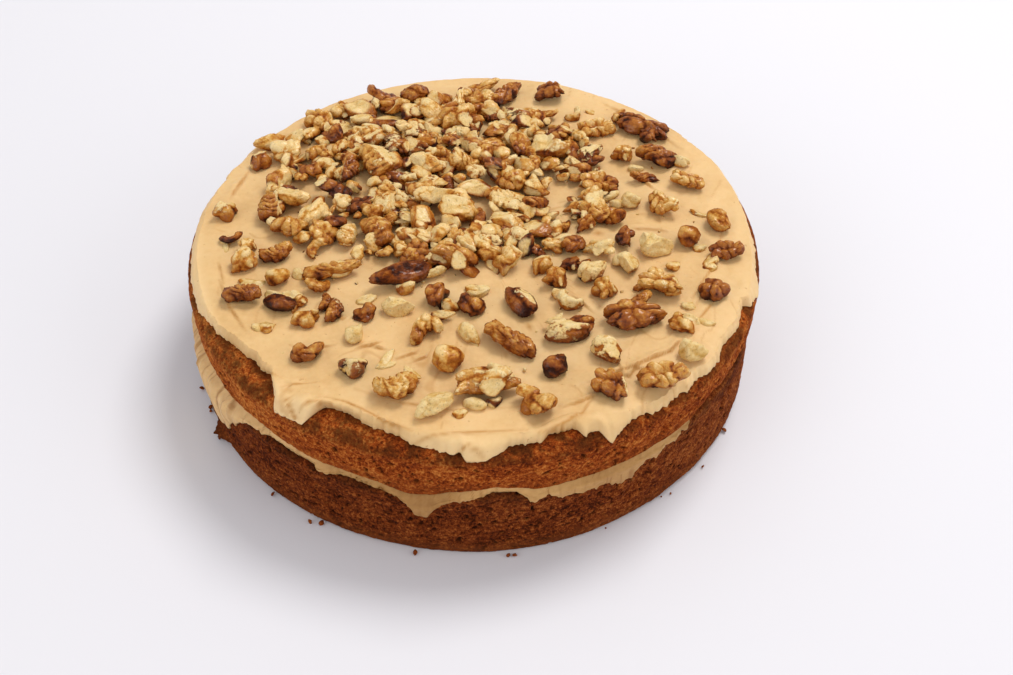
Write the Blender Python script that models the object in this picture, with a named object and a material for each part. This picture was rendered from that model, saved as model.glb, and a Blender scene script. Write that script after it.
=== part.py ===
# A whole round walnut torte: two sponge layers with a soft filling between them, icing
# spread over the top, and walnut pieces strewn on it, most of them in a heap at the back.
# The origin is on the table under the middle of the cake. The front is -Y.

import math
import random

import bmesh
import bpy
from mathutils import Euler, Matrix, Vector, noise

MM = 0.001
FIT_GAP = 0.3 * MM          # room between pieces that touch

# Driving dimensions of the cake
CAKE_RADIUS = 116.8 * MM    # of either layer, midway up its side
OVAL = 0.5 * MM             # wider than that across, narrower from front to back
LOWER_SHIFT = 0.0 * MM      # the layers are not quite in line, across the cake
UPPER_SHIFT = 1.2 * MM
SEAM_HEIGHT = 36.0 * MM     # where the upper layer starts
FILLING_DEPTH = 2.9 * MM
UPPER_TOP = 56.0 * MM
ICING_TOP = 60.5 * MM
FLAT_RADIUS = 80.0 * MM     # inside this the layers lie flat

# The upper layer's rounded shoulder, and the chamfer of the lower layer's top edge
SHOULDER_RUN = 8.0 * MM
SHOULDER_DROP = 5.0 * MM
SHOULDER_LENGTH = math.pi / 2 * math.hypot(SHOULDER_RUN, SHOULDER_DROP) / math.sqrt(2)
EDGE_CUT = 1.6 * MM

# The height of the seam round the upper layer's rim: angle, height (mm)
SEAM_RIM = (
    (-180, 35.0), (-140, 36.5), (-100, 34.8), (-75, 36.0), (-55, 35.6), (-45, 37.2),
    (-39, 36.8), (-30, 34.9), (-21, 35.6), (-16.5, 34.2), (-10.5, 30.8), (-6, 32.0),
    (-3, 34.6), (0, 35.7), (5, 37.5), (12, 35.2), (16, 36.3), (31, 36.4), (40, 36.8),
    (52, 39.4), (64, 39.0), (78, 36.0), (100, 35.0), (140, 37.0), (180, 35.0),
)

# How far the icing's edge runs over the shoulder: angle, run (mm). The front's tongues,
# tips and notches are the real ones.
ICING_EDGE = (
    (-180, 4.4), (-170, 5.8), (-158, 3.0), (-146, 6.0), (-132, 3.2), (-120, 5.5),
    (-108, 3.0), (-98, 5.6), (-90, 5.3), (-80, 5.5), (-72, 5.4), (-69, 5.0), (-66, 4.2),
    (-63, 2.6), (-60, 2.2), (-57, 0.6), (-54, -0.4), (-51, -1.0), (-49.5, -2.2),
    (-46.5, -1.4), (-43.5, -2.4), (-42, -1.0), (-40.5, 1.4), (-39, 3.5), (-37.5, 8.0), (-36, 8.2),
    (-34.5, 7.6), (-31.5, 7.0), (-30.5, 3.5), (-29.5, -1.5), (-28.5, -2.5), (-24, -2.9),
    (-22.5, -2.2), (-21, -0.7), (-16.5, 0.0), (-13.5, 1.0), (-12, 2.0), (-10.5, 3.0),
    (-7.5, 3.3), (-4.5, 4.1), (-3, 5.0), (-1.5, 4.8), (-0.5, 7.4), (0.5, 7.8), (3, 7.0),
    (4.5, 5.4), (6, 3.8), (7.5, 2.3), (13.5, 2.2), (15, 0.5), (19.5, 0.3), (20.5, 1.5),
    (21.2, 4.6), (22.5, 2.8), (24, 3.6), (25, 8.0), (25.8, 11.0), (27, 7.6), (28.5, 6.0),
    (30, 4.8), (33, 4.5), (36, 6.0), (39, 6.0), (42, 5.0), (43.5, 6.0), (46.5, 5.0),
    (51, 6.0), (54, 5.2), (57, 3.0), (60, 3.8), (63, 4.2), (66, 3.5), (69, 2.8),
    (70.5, 5.5), (73.5, 7.2), (75, 8.8), (76.5, 8.8), (78, 7.0), (81, 5.1), (85, 5.6),
    (90, 5.0), (100, 3.5), (112, 6.0), (124, 2.5), (136, 5.5), (150, 3.0), (163, 5.5),
    (176, 3.2), (180, 4.4),
)

# How far the filling squeezes out over the lower layer's edge, in the same way
FILLING_EDGE = (
    (-180, 1.0), (-170, 5.5), (-160, 8.5), (-150, 3.0), (-140, -0.5), (-128, -1.0),
    (-116, 3.0), (-105, 5.5), (-94, 1.0), (-84, 0.5), (-78, 5.0), (-74, 14.0), (-70, 21.0),
    (-66, 23.5), (-60, 23.5), (-58.5, 22.5), (-55.5, 17.8), (-52.5, 11.3), (-49.5, 5.3),
    (-46.5, 1.6), (-42, 0.9), (-40.5, -0.3), (-36, -0.3), (-30, -0.4), (-28.5, 1.6),
    (-26, 1.2), (-24, -0.3), (-19.5, 0.2), (-15, 0.2), (-12, 1.5), (-10.5, 2.8), (-9, 8.3),
    (-7.5, 8.8), (-6, 3.8), (-4.5, 1.8), (-1.5, 2.3), (1.5, 1.1), (4.5, -0.3), (9, -0.6),
    (10.5, 1.4), (12, 4.3), (13.5, 2.9), (15, 2.3), (16.5, 5.3), (19.5, 5.3), (21, 6.5),
    (25.5, 6.3), (28.5, 9.0), (31.5, 9.6), (33, 6.3), (34.5, 3.6), (37.5, 5.6), (39, 2.6),
    (42, 3.3), (43.5, 1.8), (45, 2.8), (47, 0.0), (52, -1.5), (75, -1.0), (86, 3.0),
    (96, 4.5), (108, 1.0), (120, 5.0), (131, 9.0), (142, 4.0), (156, -0.5), (168, 0.5),
    (180, 1.0),
)

# A torn flake of crust low on the lower layer
FLAKE_ANGLE = -60.0
FLAKE_HEIGHT = 4.5 * MM
FLAKE_REACH = 5.5 * MM

SPONGE_STEPS = 80           # also the filling's, so that their faces lie alike
ICING_STEPS = 108

# Walnut kinds, each with its height as a share of its width, and the length under which
# a piece gets few facets
KINDS = {"half": 0.62, "piece": 0.72, "long": 0.80, "chunk": 0.75, "flake": 0.45}
SMALL_WALNUT = 14.0 * MM

# Walnuts that lie apart: kind, place across and along, length, width (mm), turn (degrees)
LOOSE = (
    ("half", 71, -85, 19, 13, 10), ("half", 52, -89, 14, 12, -15),
    ("piece", 26, -98, 13, 11, -20), ("piece", 7, -89, 25, 13, 12),
    ("chunk", -12, -99, 16, 9, 38), ("piece", -7, -76, 12, 11, 0),
    ("half", -25, -89, 17, 12, 22), ("chunk", -42, -80, 11, 10, 20),
    ("piece", -59, -72, 13, 9, 5), ("chunk", -43, -62, 10, 7, 80),
    ("piece", -39, -51, 10, 8, 30), ("piece", -51, -50, 12, 7, 75),
    ("piece", -62, -54, 11, 8, 0), ("piece", -73, -46, 14, 8, -15),
    ("long", -88, -41, 16, 9, 8), ("piece", -75, -31, 10, 8, 10),
    ("piece", -91, -22, 12, 10, 40), ("piece", -102, 9, 10, 9, 0),
    ("long", -54, -27, 24, 8, 14), ("long", -27, -31, 26, 10, 24),
    ("chunk", -27, -47, 13, 8, 8), ("piece", -12, -42, 11, 9, 60),
    ("piece", 1, -47, 12, 9, -25), ("piece", -16, -61, 14, 10, 30),
    ("long", 16, -65, 24, 10, -32), ("piece", 20, -45, 16, 10, -65),
    ("piece", 33, -32, 11, 10, 15), ("piece", 38, -45, 11, 8, -30),
    ("piece", 52, -39, 12, 10, 70), ("piece", 37, -61, 18, 10, 5),
    ("piece", 33, -79, 11, 8, 45), ("chunk", 51, -71, 13, 9, -35),
    ("half", 63, -54, 24, 14, 8), ("piece", 80, -58, 11, 8, -40),
    ("chunk", 83, -71, 11, 9, 15), ("half", 74, -36, 18, 12, -5),
    ("half", 94, -38, 12, 11, -30), ("chunk", 62, -22, 12, 8, -60),
    ("chunk", 74, -11, 14, 10, 20), ("piece", 87, -7, 11, 10, 50),
    ("half", 102, -15, 14, 9, 10), ("piece", 101, 3, 13, 9, -68),
    ("piece", 78, 14, 14, 10, 80), ("chunk", 66, 17, 9, 8, 0),
    ("half", 91, 30, 15, 10, -15), ("long", 73, 32, 13, 6, -12),
    ("long", 80, 45, 20, 10, -22), ("piece", 64, 48, 10, 9, 0),
    ("half", 75, 66, 24, 12, -25), ("half", 54, 67, 17, 10, 15),
    ("piece", -92, 42, 10, 8, 50), ("piece", -88, 56, 16, 8, 25),
    ("half", 34, 94, 14, 11, 0), ("chunk", 47, -28, 13, 9, 35),
    ("long", -77, -18, 14, 8, 20),
)

# Small chips that are fused to the icing: place across and along, length, width (mm), turn
CHIP_SINK = 0.8 * MM
CHIPS = (
    (-2, -100, 6, 4, 20), (-29, -76, 9, 4, 30), (-87, -31, 8, 4, 10), (2, -36, 8, 5, 0),
    (90, -54, 8, 4, -20), (94, 11, 8, 3, -20), (81, -22, 7, 5, 40), (95, -23, 6, 5, 0),
    (-76, -57, 7, 6, 30), (-39, -41, 7, 4, 25), (1, -63, 9, 4, -50), (-98, -7, 9, 4, 15),
)

# The heap: its middle, half its size each way and how square its outline is
HEAP_MIDDLE = Vector((-17.0 * MM, 33.5 * MM, 0.0))
HEAP_HALF = (73.0 * MM, 59.0 * MM)
HEAP_POWER = 2.8
HEAP_LIMIT = 105.0 * MM     # it keeps off the icing's rounded edge
HEAP_SEED = 31
HEAP_PIECES = 77
HEAP_TRIES = 6000
HEAP_CORE = 3.4 * MM        # depth of the packed small pieces in the heap's middle
HEAP_MARGIN = 2.5 * MM      # how far inside the outline the core ends
HEAP_STEPS = 24

# The heap's pieces that stand out at its rim, laid out as the loose ones are
HEAP_RIM = (
    ("half", -69, 71, 14, 12, 0), ("piece", -43, 88, 14, 11, -10),
    ("piece", -27, 91, 14, 12, 60), ("chunk", -4, 92, 13, 10, 70),
    ("piece", 4, 98, 17, 8, 20), ("long", 13, 91, 25, 8, 40),
    ("chunk", 15, -22, 12, 10, 30), ("piece", 45, 36, 16, 9, -30),
)


def clear_scene():
    for item in list(bpy.data.objects):
        bpy.data.objects.remove(item, do_unlink=True)


def material(name, colour, roughness):
    made = bpy.data.materials.new(name)
    made.use_nodes = True
    shader = made.node_tree.nodes["Principled BSDF"]
    shader.inputs["Base Color"].default_value = (*colour, 1.0)
    shader.inputs["Roughness"].default_value = roughness
    shader.inputs["Metallic"].default_value = 0.0
    return made


def add_object(name, bm, finish, home):
    bmesh.ops.recalc_face_normals(bm, faces=bm.faces)
    mesh = bpy.data.meshes.new(name)
    bm.to_mesh(mesh)
    bm.free()
    mesh.materials.append(finish)
    mesh.shade_smooth()
    mesh.set_sharp_from_angle(angle=math.radians(50))
    made = bpy.data.objects.new(name, mesh)
    home.objects.link(made)
    return made


def loft(sections, start, end):
    # Skins rings of points, all with as many points, and closes both ends to a point.
    # Each face is split from its inner ring's first corner, so that pieces that lie on
    # each other are faceted alike.
    bm = bmesh.new()
    rings = [[bm.verts.new(point) for point in ring] for ring in sections]
    first, last = bm.verts.new(start), bm.verts.new(end)
    steps = len(sections[0])
    for i in range(steps):
        j = (i + 1) % steps
        bm.faces.new((first, rings[0][j], rings[0][i]))
        for lower, upper in zip(rings, rings[1:]):
            if lower[i].co.xy.length < upper[i].co.xy.length:
                bm.faces.new((lower[i], lower[j], upper[j]))
                bm.faces.new((lower[i], upper[j], upper[i]))
            else:
                bm.faces.new((lower[i], lower[j], upper[i]))
                bm.faces.new((lower[j], upper[j], upper[i]))
        bm.faces.new((last, rings[-1][i], rings[-1][j]))
    return bm


# The cake's outline. Angles are in degrees round from the front, to the right.

def around(steps):
    return [360.0 * i / steps for i in range(steps)]


def profile(angle, table):
    # A measured size (mm) at any angle, straight between the angles that the table gives.
    angle = (angle + 180.0) % 360.0 - 180.0
    for (before, low), (after, high) in zip(table, table[1:]):
        if before <= angle <= after:
            return (low + (high - low) * (angle - before) / (after - before)) * MM
    return table[0][1] * MM


def layer_radius(angle):
    turn = math.radians(angle)
    lumps = 0.3 * math.sin(3 * turn + 1.0) + 0.25 * math.sin(7 * turn + 0.4)
    return CAKE_RADIUS - OVAL * math.cos(2 * turn) + lumps * MM


def place(angle, radius, shift, height=0.0):
    turn = math.radians(angle)
    return Vector((shift + radius * math.sin(turn), -radius * math.cos(turn), height))


def seam_height(point):
    # The seam rises and falls round the rim, and is level inside the flat radius.
    turn = math.degrees(math.atan2(point.x, -point.y))
    outer = (math.hypot(point.x, point.y) - FLAT_RADIUS) / (CAKE_RADIUS - FLAT_RADIUS)
    return SEAM_HEIGHT + max(outer, 0.0) * (profile(turn, SEAM_RIM) - SEAM_HEIGHT)


def on_lower_top(angle, radius, above=0.0):
    point = place(angle, radius, LOWER_SHIFT)
    point.z = seam_height(point) - FILLING_DEPTH + above
    return point


def on_upper_base(angle, radius, above=0.0):
    point = place(angle, radius, UPPER_SHIFT)
    point.z = seam_height(point) + above
    return point


def on_lower_edge(angle, run, lift):
    # A point that lies run beyond the lower layer's top face, over its chamfered edge.
    rim = layer_radius(angle)
    cut_length = EDGE_CUT * math.sqrt(2)
    if run <= 0.0:
        return on_lower_top(angle, rim - EDGE_CUT + run, lift)
    if run < cut_length:
        slide = run / math.sqrt(2)
        point = on_lower_top(angle, rim - EDGE_CUT + slide + lift / math.sqrt(2))
        corner = on_lower_top(angle, rim - EDGE_CUT)
        point.z = corner.z - slide + lift / math.sqrt(2)
        return point
    point = place(angle, rim + lift, LOWER_SHIFT)
    corner = on_lower_top(angle, rim - EDGE_CUT)
    point.z = corner.z - EDGE_CUT - (run - cut_length)
    return point


def on_shoulder(angle, run, lift):
    # A point that lies run beyond the upper layer's flat top, over its shoulder.
    flat_end = layer_radius(angle) - SHOULDER_RUN
    if run <= 0.0:
        return place(angle, flat_end + run, UPPER_SHIFT, UPPER_TOP + lift)
    if run < SHOULDER_LENGTH:
        turn = math.pi / 2 * run / SHOULDER_LENGTH
        out = Vector((SHOULDER_DROP * math.sin(turn), SHOULDER_RUN * math.cos(turn))).normalized()
        radius = flat_end + SHOULDER_RUN * math.sin(turn) + out.x * lift
        height = UPPER_TOP - SHOULDER_DROP * (1.0 - math.cos(turn)) + out.y * lift
        return place(angle, radius, UPPER_SHIFT, height)
    height = UPPER_TOP - SHOULDER_DROP - (run - SHOULDER_LENGTH)
    return place(angle, flat_end + SHOULDER_RUN + lift, UPPER_SHIFT, height)


def crag(point, depth):
    # Pits in the baked side, never proud of it, so that filling and icing clear it.
    rough = noise.noise(point * 70.0) + 0.6 * noise.noise(point * 190.0)
    return -depth * max(rough, 0.0)


# The layers

def side_ring(angles, shift, height_of, inset, depth):
    ring = []
    for angle in angles:
        point = place(angle, layer_radius(angle), shift, height_of(angle))
        ring.append(place(angle, layer_radius(angle) - inset + crag(point, depth), shift, point.z))
    return ring


def lower_sponge(finish, home):
    angles = around(SPONGE_STEPS)

    def height_at(share):
        # A height on the side: nothing at the table, one at the foot of the chamfer.
        def height_of(angle):
            top = on_lower_edge(angle, EDGE_CUT * math.sqrt(2), 0.0).z
            return share * top
        return height_of

    rings = [
        [place(a, layer_radius(a) - 1.4 * MM, LOWER_SHIFT) for a in angles],
        side_ring(angles, LOWER_SHIFT, height_at(0.08), 0.4 * MM, 0.5 * MM),
        side_ring(angles, LOWER_SHIFT, height_at(0.24), 0.0, 1.6 * MM),
        side_ring(angles, LOWER_SHIFT, height_at(0.50), 0.0, 2.0 * MM),
        side_ring(angles, LOWER_SHIFT, height_at(0.76), 0.0, 1.6 * MM),
        [on_lower_edge(a, EDGE_CUT * math.sqrt(2), 0.0) for a in angles],
        [on_lower_edge(a, 0.0, 0.0) for a in angles],
        [on_lower_top(a, FLAT_RADIUS) for a in angles],
    ]
    flake = min(range(SPONGE_STEPS), key=lambda i: abs(angles[i] - FLAKE_ANGLE % 360.0))
    rings[1][flake] = place(angles[flake], layer_radius(angles[flake]) + FLAKE_REACH,
                            LOWER_SHIFT, FLAKE_HEIGHT)
    middle = Vector((LOWER_SHIFT, 0.0, 0.0))
    bm = loft(rings, middle, middle + Vector((0.0, 0.0, SEAM_HEIGHT - FILLING_DEPTH)))
    return add_object("sponge_bottom", bm, finish, home)


def upper_sponge(finish, home):
    angles = around(SPONGE_STEPS)
    side_top = UPPER_TOP - SHOULDER_DROP

    def height_at(share):
        # A height on the side: nothing at the base, one where the shoulder starts.
        def height_of(angle):
            base = on_upper_base(angle, layer_radius(angle)).z + 1.8 * MM
            return base + share * (side_top - base)
        return height_of

    rings = [
        [on_upper_base(a, FLAT_RADIUS) for a in angles],
        [on_upper_base(a, layer_radius(a) - 2.4 * MM) for a in angles],
        side_ring(angles, UPPER_SHIFT, height_at(0.0), 0.5 * MM, 0.5 * MM),
        side_ring(angles, UPPER_SHIFT, height_at(0.36), 0.0, 2.0 * MM),
        side_ring(angles, UPPER_SHIFT, height_at(0.70), 0.0, 1.8 * MM),
        [on_shoulder(a, SHOULDER_LENGTH, 0.0) for a in angles],
        [on_shoulder(a, SHOULDER_LENGTH / 2, 0.0) for a in angles],
        [on_shoulder(a, 0.0, 0.0) for a in angles],
        [place(a, FLAT_RADIUS, UPPER_SHIFT, UPPER_TOP) for a in angles],
    ]
    base = Vector((UPPER_SHIFT, 0.0, SEAM_HEIGHT))
    bm = loft(rings, base, Vector((UPPER_SHIFT, 0.0, UPPER_TOP)))
    return add_object("sponge_top", bm, finish, home)


def filling(finish, home):
    angles = around(SPONGE_STEPS)
    under = FIT_GAP + 0.9 * MM
    step = 0.4 * MM             # the least that two rings stay apart
    corner_run = EDGE_CUT * math.sqrt(2)
    ends = {a: profile(a, FILLING_EDGE) for a in angles}

    def belly(end):
        # Where the squeezed filling stands furthest out, near the layer's edge.
        return min(0.45 * end, end, 1.9 * MM) - step

    rings = [
        [on_lower_top(a, FLAT_RADIUS, FIT_GAP) for a in angles],
        [on_lower_edge(a, min(0.0, ends[a] - 2 * step), under) for a in angles],
        [on_lower_edge(a, min(corner_run, ends[a] - step), under) for a in angles],
        [on_lower_edge(a, ends[a], under) for a in angles],
        [on_lower_edge(a, ends[a] - step, under + 0.8 * MM) for a in angles],
        [on_lower_edge(a, belly(ends[a]), under + 1.3 * MM) for a in angles],
        [on_upper_base(a, layer_radius(a) - 2.4 * MM, -FIT_GAP) for a in angles],
        [on_upper_base(a, FLAT_RADIUS, -FIT_GAP) for a in angles],
    ]
    base = Vector((0.0, 0.0, SEAM_HEIGHT - FILLING_DEPTH + FIT_GAP))
    bm = loft(rings, base, Vector((0.0, 0.0, SEAM_HEIGHT - FIT_GAP)))
    return add_object("filling", bm, finish, home)


def icing_wave(point):
    return 0.4 * MM * math.sin(point.x / 0.021 + 0.7) * math.cos(point.y / 0.026)


def icing(finish, home):
    angles = around(ICING_STEPS)
    under = FIT_GAP + 0.9 * MM  # room for the faces that span the rounded shoulder
    step = 0.5 * MM
    crown = ICING_TOP - UPPER_TOP
    ends = {a: profile(a, ICING_EDGE) for a in angles}

    def top_ring(radius):
        ring = [place(a, radius, UPPER_SHIFT, ICING_TOP) for a in angles]
        for point in ring:
            point.z += icing_wave(point)
        return ring

    rings = [
        [place(a, FLAT_RADIUS, UPPER_SHIFT, UPPER_TOP + FIT_GAP) for a in angles],
        [on_shoulder(a, min(0.0, ends[a] - 3 * step), under) for a in angles],
        [on_shoulder(a, min(SHOULDER_LENGTH / 2, ends[a] - 2 * step), under) for a in angles],
        [on_shoulder(a, min(SHOULDER_LENGTH, ends[a] - step), under) for a in angles],
        [on_shoulder(a, ends[a], under) for a in angles],
        [on_shoulder(a, ends[a] - step, under + 1.3 * MM) for a in angles],
        [on_shoulder(a, ends[a] - 2.8 * MM, under + 2.0 * MM) for a in angles],
        [on_shoulder(a, min(ends[a], 6.0 * MM) - 7.0 * MM, crown) for a in angles],
        top_ring(FLAT_RADIUS),
    ]
    base = Vector((UPPER_SHIFT, 0.0, UPPER_TOP + FIT_GAP))
    bm = loft(rings, base, Vector((UPPER_SHIFT, 0.0, ICING_TOP)))
    slab = add_object("icing", bm, finish, home)
    rest = ICING_TOP - CHIP_SINK
    chips = bpy.data.collections.new("chips")
    bpy.context.scene.collection.children.link(chips)
    for number, (x, y, length, width, turn) in enumerate(CHIPS):
        bm = walnut("flake", length * MM, width * MM, turn, 400 + number)
        bmesh.ops.translate(bm, verts=bm.verts, vec=(x * MM, y * MM, rest))
        add_object(f"chip_{number:02}", bm, finish, chips)
    fuse(slab, chips)
    return slab


# The walnuts

def clip(vertex, normal, distance):
    # Draws a point in towards the middle until it lies on a plane: a broken face.
    depth = vertex.co.dot(normal)
    if depth > distance:
        vertex.co *= distance / depth


def walnut(kind, length, width, turn, seed):
    # One piece of kernel round the origin, its flat underside at height 0.
    rng = random.Random(seed)
    drift = Vector((rng.uniform(0, 90), rng.uniform(0, 90), rng.uniform(0, 90)))
    broken = kind in ("chunk", "flake")
    bm = bmesh.new()
    coarse = broken or length < SMALL_WALNUT
    bmesh.ops.create_icosphere(bm, subdivisions=1 if coarse else 2, radius=1.0)
    for vertex in bm.verts:
        across, along = vertex.co.y, vertex.co.x
        lump = 1.0 + 0.30 * noise.noise(vertex.co * 2.1 + drift)
        if kind == "half" and vertex.co.z > 0.0:
            lump -= 0.20 * math.exp(-(across / 0.30) ** 2)
        if kind == "long":
            lump += 0.07 * math.cos(8.0 * along)
        vertex.co *= lump
    if broken:
        for _ in range(3):
            side = Vector((1.0, 0.0, 0.0))
            side.rotate(Euler((0.0, 0.0, rng.uniform(0.0, math.tau))))
            side.z = rng.uniform(0.0, 0.8)
            depth = rng.uniform(0.62, 0.80)
            for vertex in bm.verts:
                clip(vertex, side.normalized(), depth)
    for vertex in bm.verts:
        clip(vertex, Vector((0.0, 0.0, -1.0)), 0.5)
    bend = rng.uniform(-0.25, 0.35) if kind in ("piece", "long") else 0.0
    for vertex in bm.verts:
        vertex.co.y += bend * vertex.co.x ** 2
    size = (length, width, KINDS[kind] * width)
    for axis in range(3):
        low = min(vertex.co[axis] for vertex in bm.verts)
        high = max(vertex.co[axis] for vertex in bm.verts)
        middle = low if axis == 2 else (low + high) / 2
        for vertex in bm.verts:
            vertex.co[axis] = (vertex.co[axis] - middle) * size[axis] / (high - low)
    bmesh.ops.rotate(bm, verts=bm.verts, matrix=Matrix.Rotation(math.radians(turn), 3, "Z"))
    return bm


def fuse(body, pieces):
    # One union of a body with all the pieces of a collection, which is then emptied.
    union = body.modifiers.new("union", "BOOLEAN")
    union.operation = "UNION"
    union.operand_type = "COLLECTION"
    union.collection = pieces
    union.solver = "MANIFOLD"
    view = bpy.context.evaluated_depsgraph_get()
    joined = bpy.data.meshes.new_from_object(body.evaluated_get(view))
    body.modifiers.clear()
    body.data = joined
    for item in list(pieces.objects):
        bpy.data.objects.remove(item, do_unlink=True)
    bpy.data.collections.remove(pieces)
    keep_largest_shell(joined)


def keep_largest_shell(mesh):
    # Drops loose scraps and the walls of sealed hollows.
    bm = bmesh.new()
    bm.from_mesh(mesh)
    left = set(bm.verts)
    shells = []
    while left:
        shell, edge = set(), {left.pop()}
        while edge:
            vertex = edge.pop()
            shell.add(vertex)
            near = {line.other_vert(vertex) for line in vertex.link_edges}
            edge |= near - shell
        left -= shell
        shells.append(shell)
    shells.sort(key=len)
    for shell in shells[:-1]:
        bmesh.ops.delete(bm, geom=list(shell), context="VERTS")
    bm.to_mesh(mesh)
    bm.free()


def walnut_rest():
    return ICING_TOP + 0.4 * MM + FIT_GAP


def loose_walnuts(finish, home):
    for number, (kind, x, y, length, width, turn) in enumerate(LOOSE, start=1):
        bm = walnut(kind, length * MM, width * MM, turn, number)
        bmesh.ops.translate(bm, verts=bm.verts, vec=(x * MM, y * MM, walnut_rest()))
        add_object(f"walnut_{number:02}", bm, finish, home)


def heap_edge(angle):
    # Distance from the heap's middle to its outline.
    turn = math.radians(angle)
    across, along = abs(math.sin(turn)), abs(math.cos(turn))
    squared = (across / HEAP_HALF[0]) ** HEAP_POWER + (along / HEAP_HALF[1]) ** HEAP_POWER
    distance = squared ** (-1.0 / HEAP_POWER) + 2.5 * MM * math.sin(5 * turn + 0.6)
    while (HEAP_MIDDLE + place(angle, distance, 0.0)).length > HEAP_LIMIT:
        distance -= 0.5 * MM
    return distance


def heap_places():
    # The rim's pieces, then drawn ones, largest first, spread evenly and clear of the
    # loose ones.
    rng = random.Random(HEAP_SEED)
    loose = [(Vector((x, y, 0.0)) * MM, length * MM / 2) for _, x, y, length, _, _ in LOOSE]
    kinds = ("piece", "chunk", "half", "chunk", "long", "chunk", "flake")
    chosen = [(kind, Vector((x, y, 0.0)) * MM, length * MM, width * MM, turn, 0.0)
              for kind, x, y, length, width, turn in HEAP_RIM]
    for _ in range(HEAP_TRIES):
        if len(chosen) == HEAP_PIECES:
            break
        share = len(chosen) / HEAP_PIECES
        angle, spread = rng.uniform(0.0, 360.0), math.sqrt(rng.random())
        length = rng.uniform(0.85, 1.15) * (19.0 - 9.0 * share) * MM
        kind, turn = rng.choice(kinds), rng.uniform(0.0, 180.0)
        point = HEAP_MIDDLE + place(angle, spread * (heap_edge(angle) - length / 3), 0.0)
        inside = point.length + 0.35 * length < HEAP_LIMIT
        apart = all((point - other).length > 0.33 * (length + size)
                    for _, other, size, _, _, _ in chosen)
        clear = all((point - other).length > length / 2 + half + 1.0 * MM
                    for other, half in loose)
        if inside and apart and clear:
            lift = rng.uniform(0.0, 3.0) * MM * (1.0 - spread ** 2)
            chosen.append((kind, point, length, rng.uniform(0.55, 0.75) * length, turn, lift))
    return chosen


def walnut_heap(finish, home):
    floor = walnut_rest()
    angles = around(HEAP_STEPS)

    def ring(share, height):
        made = []
        for angle in angles:
            point = HEAP_MIDDLE + place(angle, share * (heap_edge(angle) - HEAP_MARGIN), 0.0)
            bumps = 0.8 * MM * noise.noise(point * 90.0) if height > 0.0 else 0.0
            made.append(point + Vector((0.0, 0.0, floor + height + bumps)))
        return made

    rings = [ring(1.0, 0.0), ring(0.97, 0.6 * HEAP_CORE), ring(0.6, HEAP_CORE),
             ring(0.3, HEAP_CORE)]
    base = HEAP_MIDDLE + Vector((0.0, 0.0, floor))
    bm = loft(rings, base, base + Vector((0.0, 0.0, HEAP_CORE)))
    core = add_object("walnut_heap", bm, finish, home)
    pieces = bpy.data.collections.new("pieces")
    bpy.context.scene.collection.children.link(pieces)
    for number, (kind, point, length, width, turn, lift) in enumerate(heap_places()):
        bm = walnut(kind, length, width, turn, 100 + number)
        raised = point + Vector((0.0, 0.0, floor + 0.15 * MM + lift))
        bmesh.ops.translate(bm, verts=bm.verts, vec=raised)
        add_object(f"piece_{number:02}", bm, finish, pieces)
    fuse(core, pieces)


def main():
    clear_scene()
    cake = bpy.data.collections.new("walnut_torte")
    bpy.context.scene.collection.children.link(cake)
    dark_crumb = material("lower sponge", (0.16, 0.055, 0.022), 0.85)
    crumb = material("upper sponge", (0.30, 0.115, 0.040), 0.85)
    cream = material("buttercream", (0.88, 0.62, 0.34), 0.45)
    kernel = material("walnut", (0.45, 0.24, 0.10), 0.5)
    lower_sponge(dark_crumb, cake)
    filling(cream, cake)
    upper_sponge(crumb, cake)
    icing(cream, cake)
    walnut_heap(kernel, cake)
    loose_walnuts(kernel, cake)


main()
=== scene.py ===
import math
import random

import bpy
import numpy as np
from mathutils import Euler, Matrix, Vector, noise


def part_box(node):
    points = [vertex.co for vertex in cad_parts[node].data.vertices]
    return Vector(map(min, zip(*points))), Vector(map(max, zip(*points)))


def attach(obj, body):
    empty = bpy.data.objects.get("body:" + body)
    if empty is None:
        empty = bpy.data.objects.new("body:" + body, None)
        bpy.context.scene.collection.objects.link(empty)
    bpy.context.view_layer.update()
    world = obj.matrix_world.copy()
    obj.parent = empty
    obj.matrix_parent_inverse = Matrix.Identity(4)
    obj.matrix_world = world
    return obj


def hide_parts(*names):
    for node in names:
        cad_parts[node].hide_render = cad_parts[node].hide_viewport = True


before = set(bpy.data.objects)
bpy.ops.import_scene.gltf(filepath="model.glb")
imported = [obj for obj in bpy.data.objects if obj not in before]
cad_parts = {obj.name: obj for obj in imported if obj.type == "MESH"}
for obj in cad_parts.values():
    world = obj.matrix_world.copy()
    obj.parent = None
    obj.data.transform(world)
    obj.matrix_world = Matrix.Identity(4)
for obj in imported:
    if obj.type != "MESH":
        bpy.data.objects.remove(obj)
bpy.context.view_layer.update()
mm = 0.001
noise.seed_set(12)      # noise_vector starts from the clock without it

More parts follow.
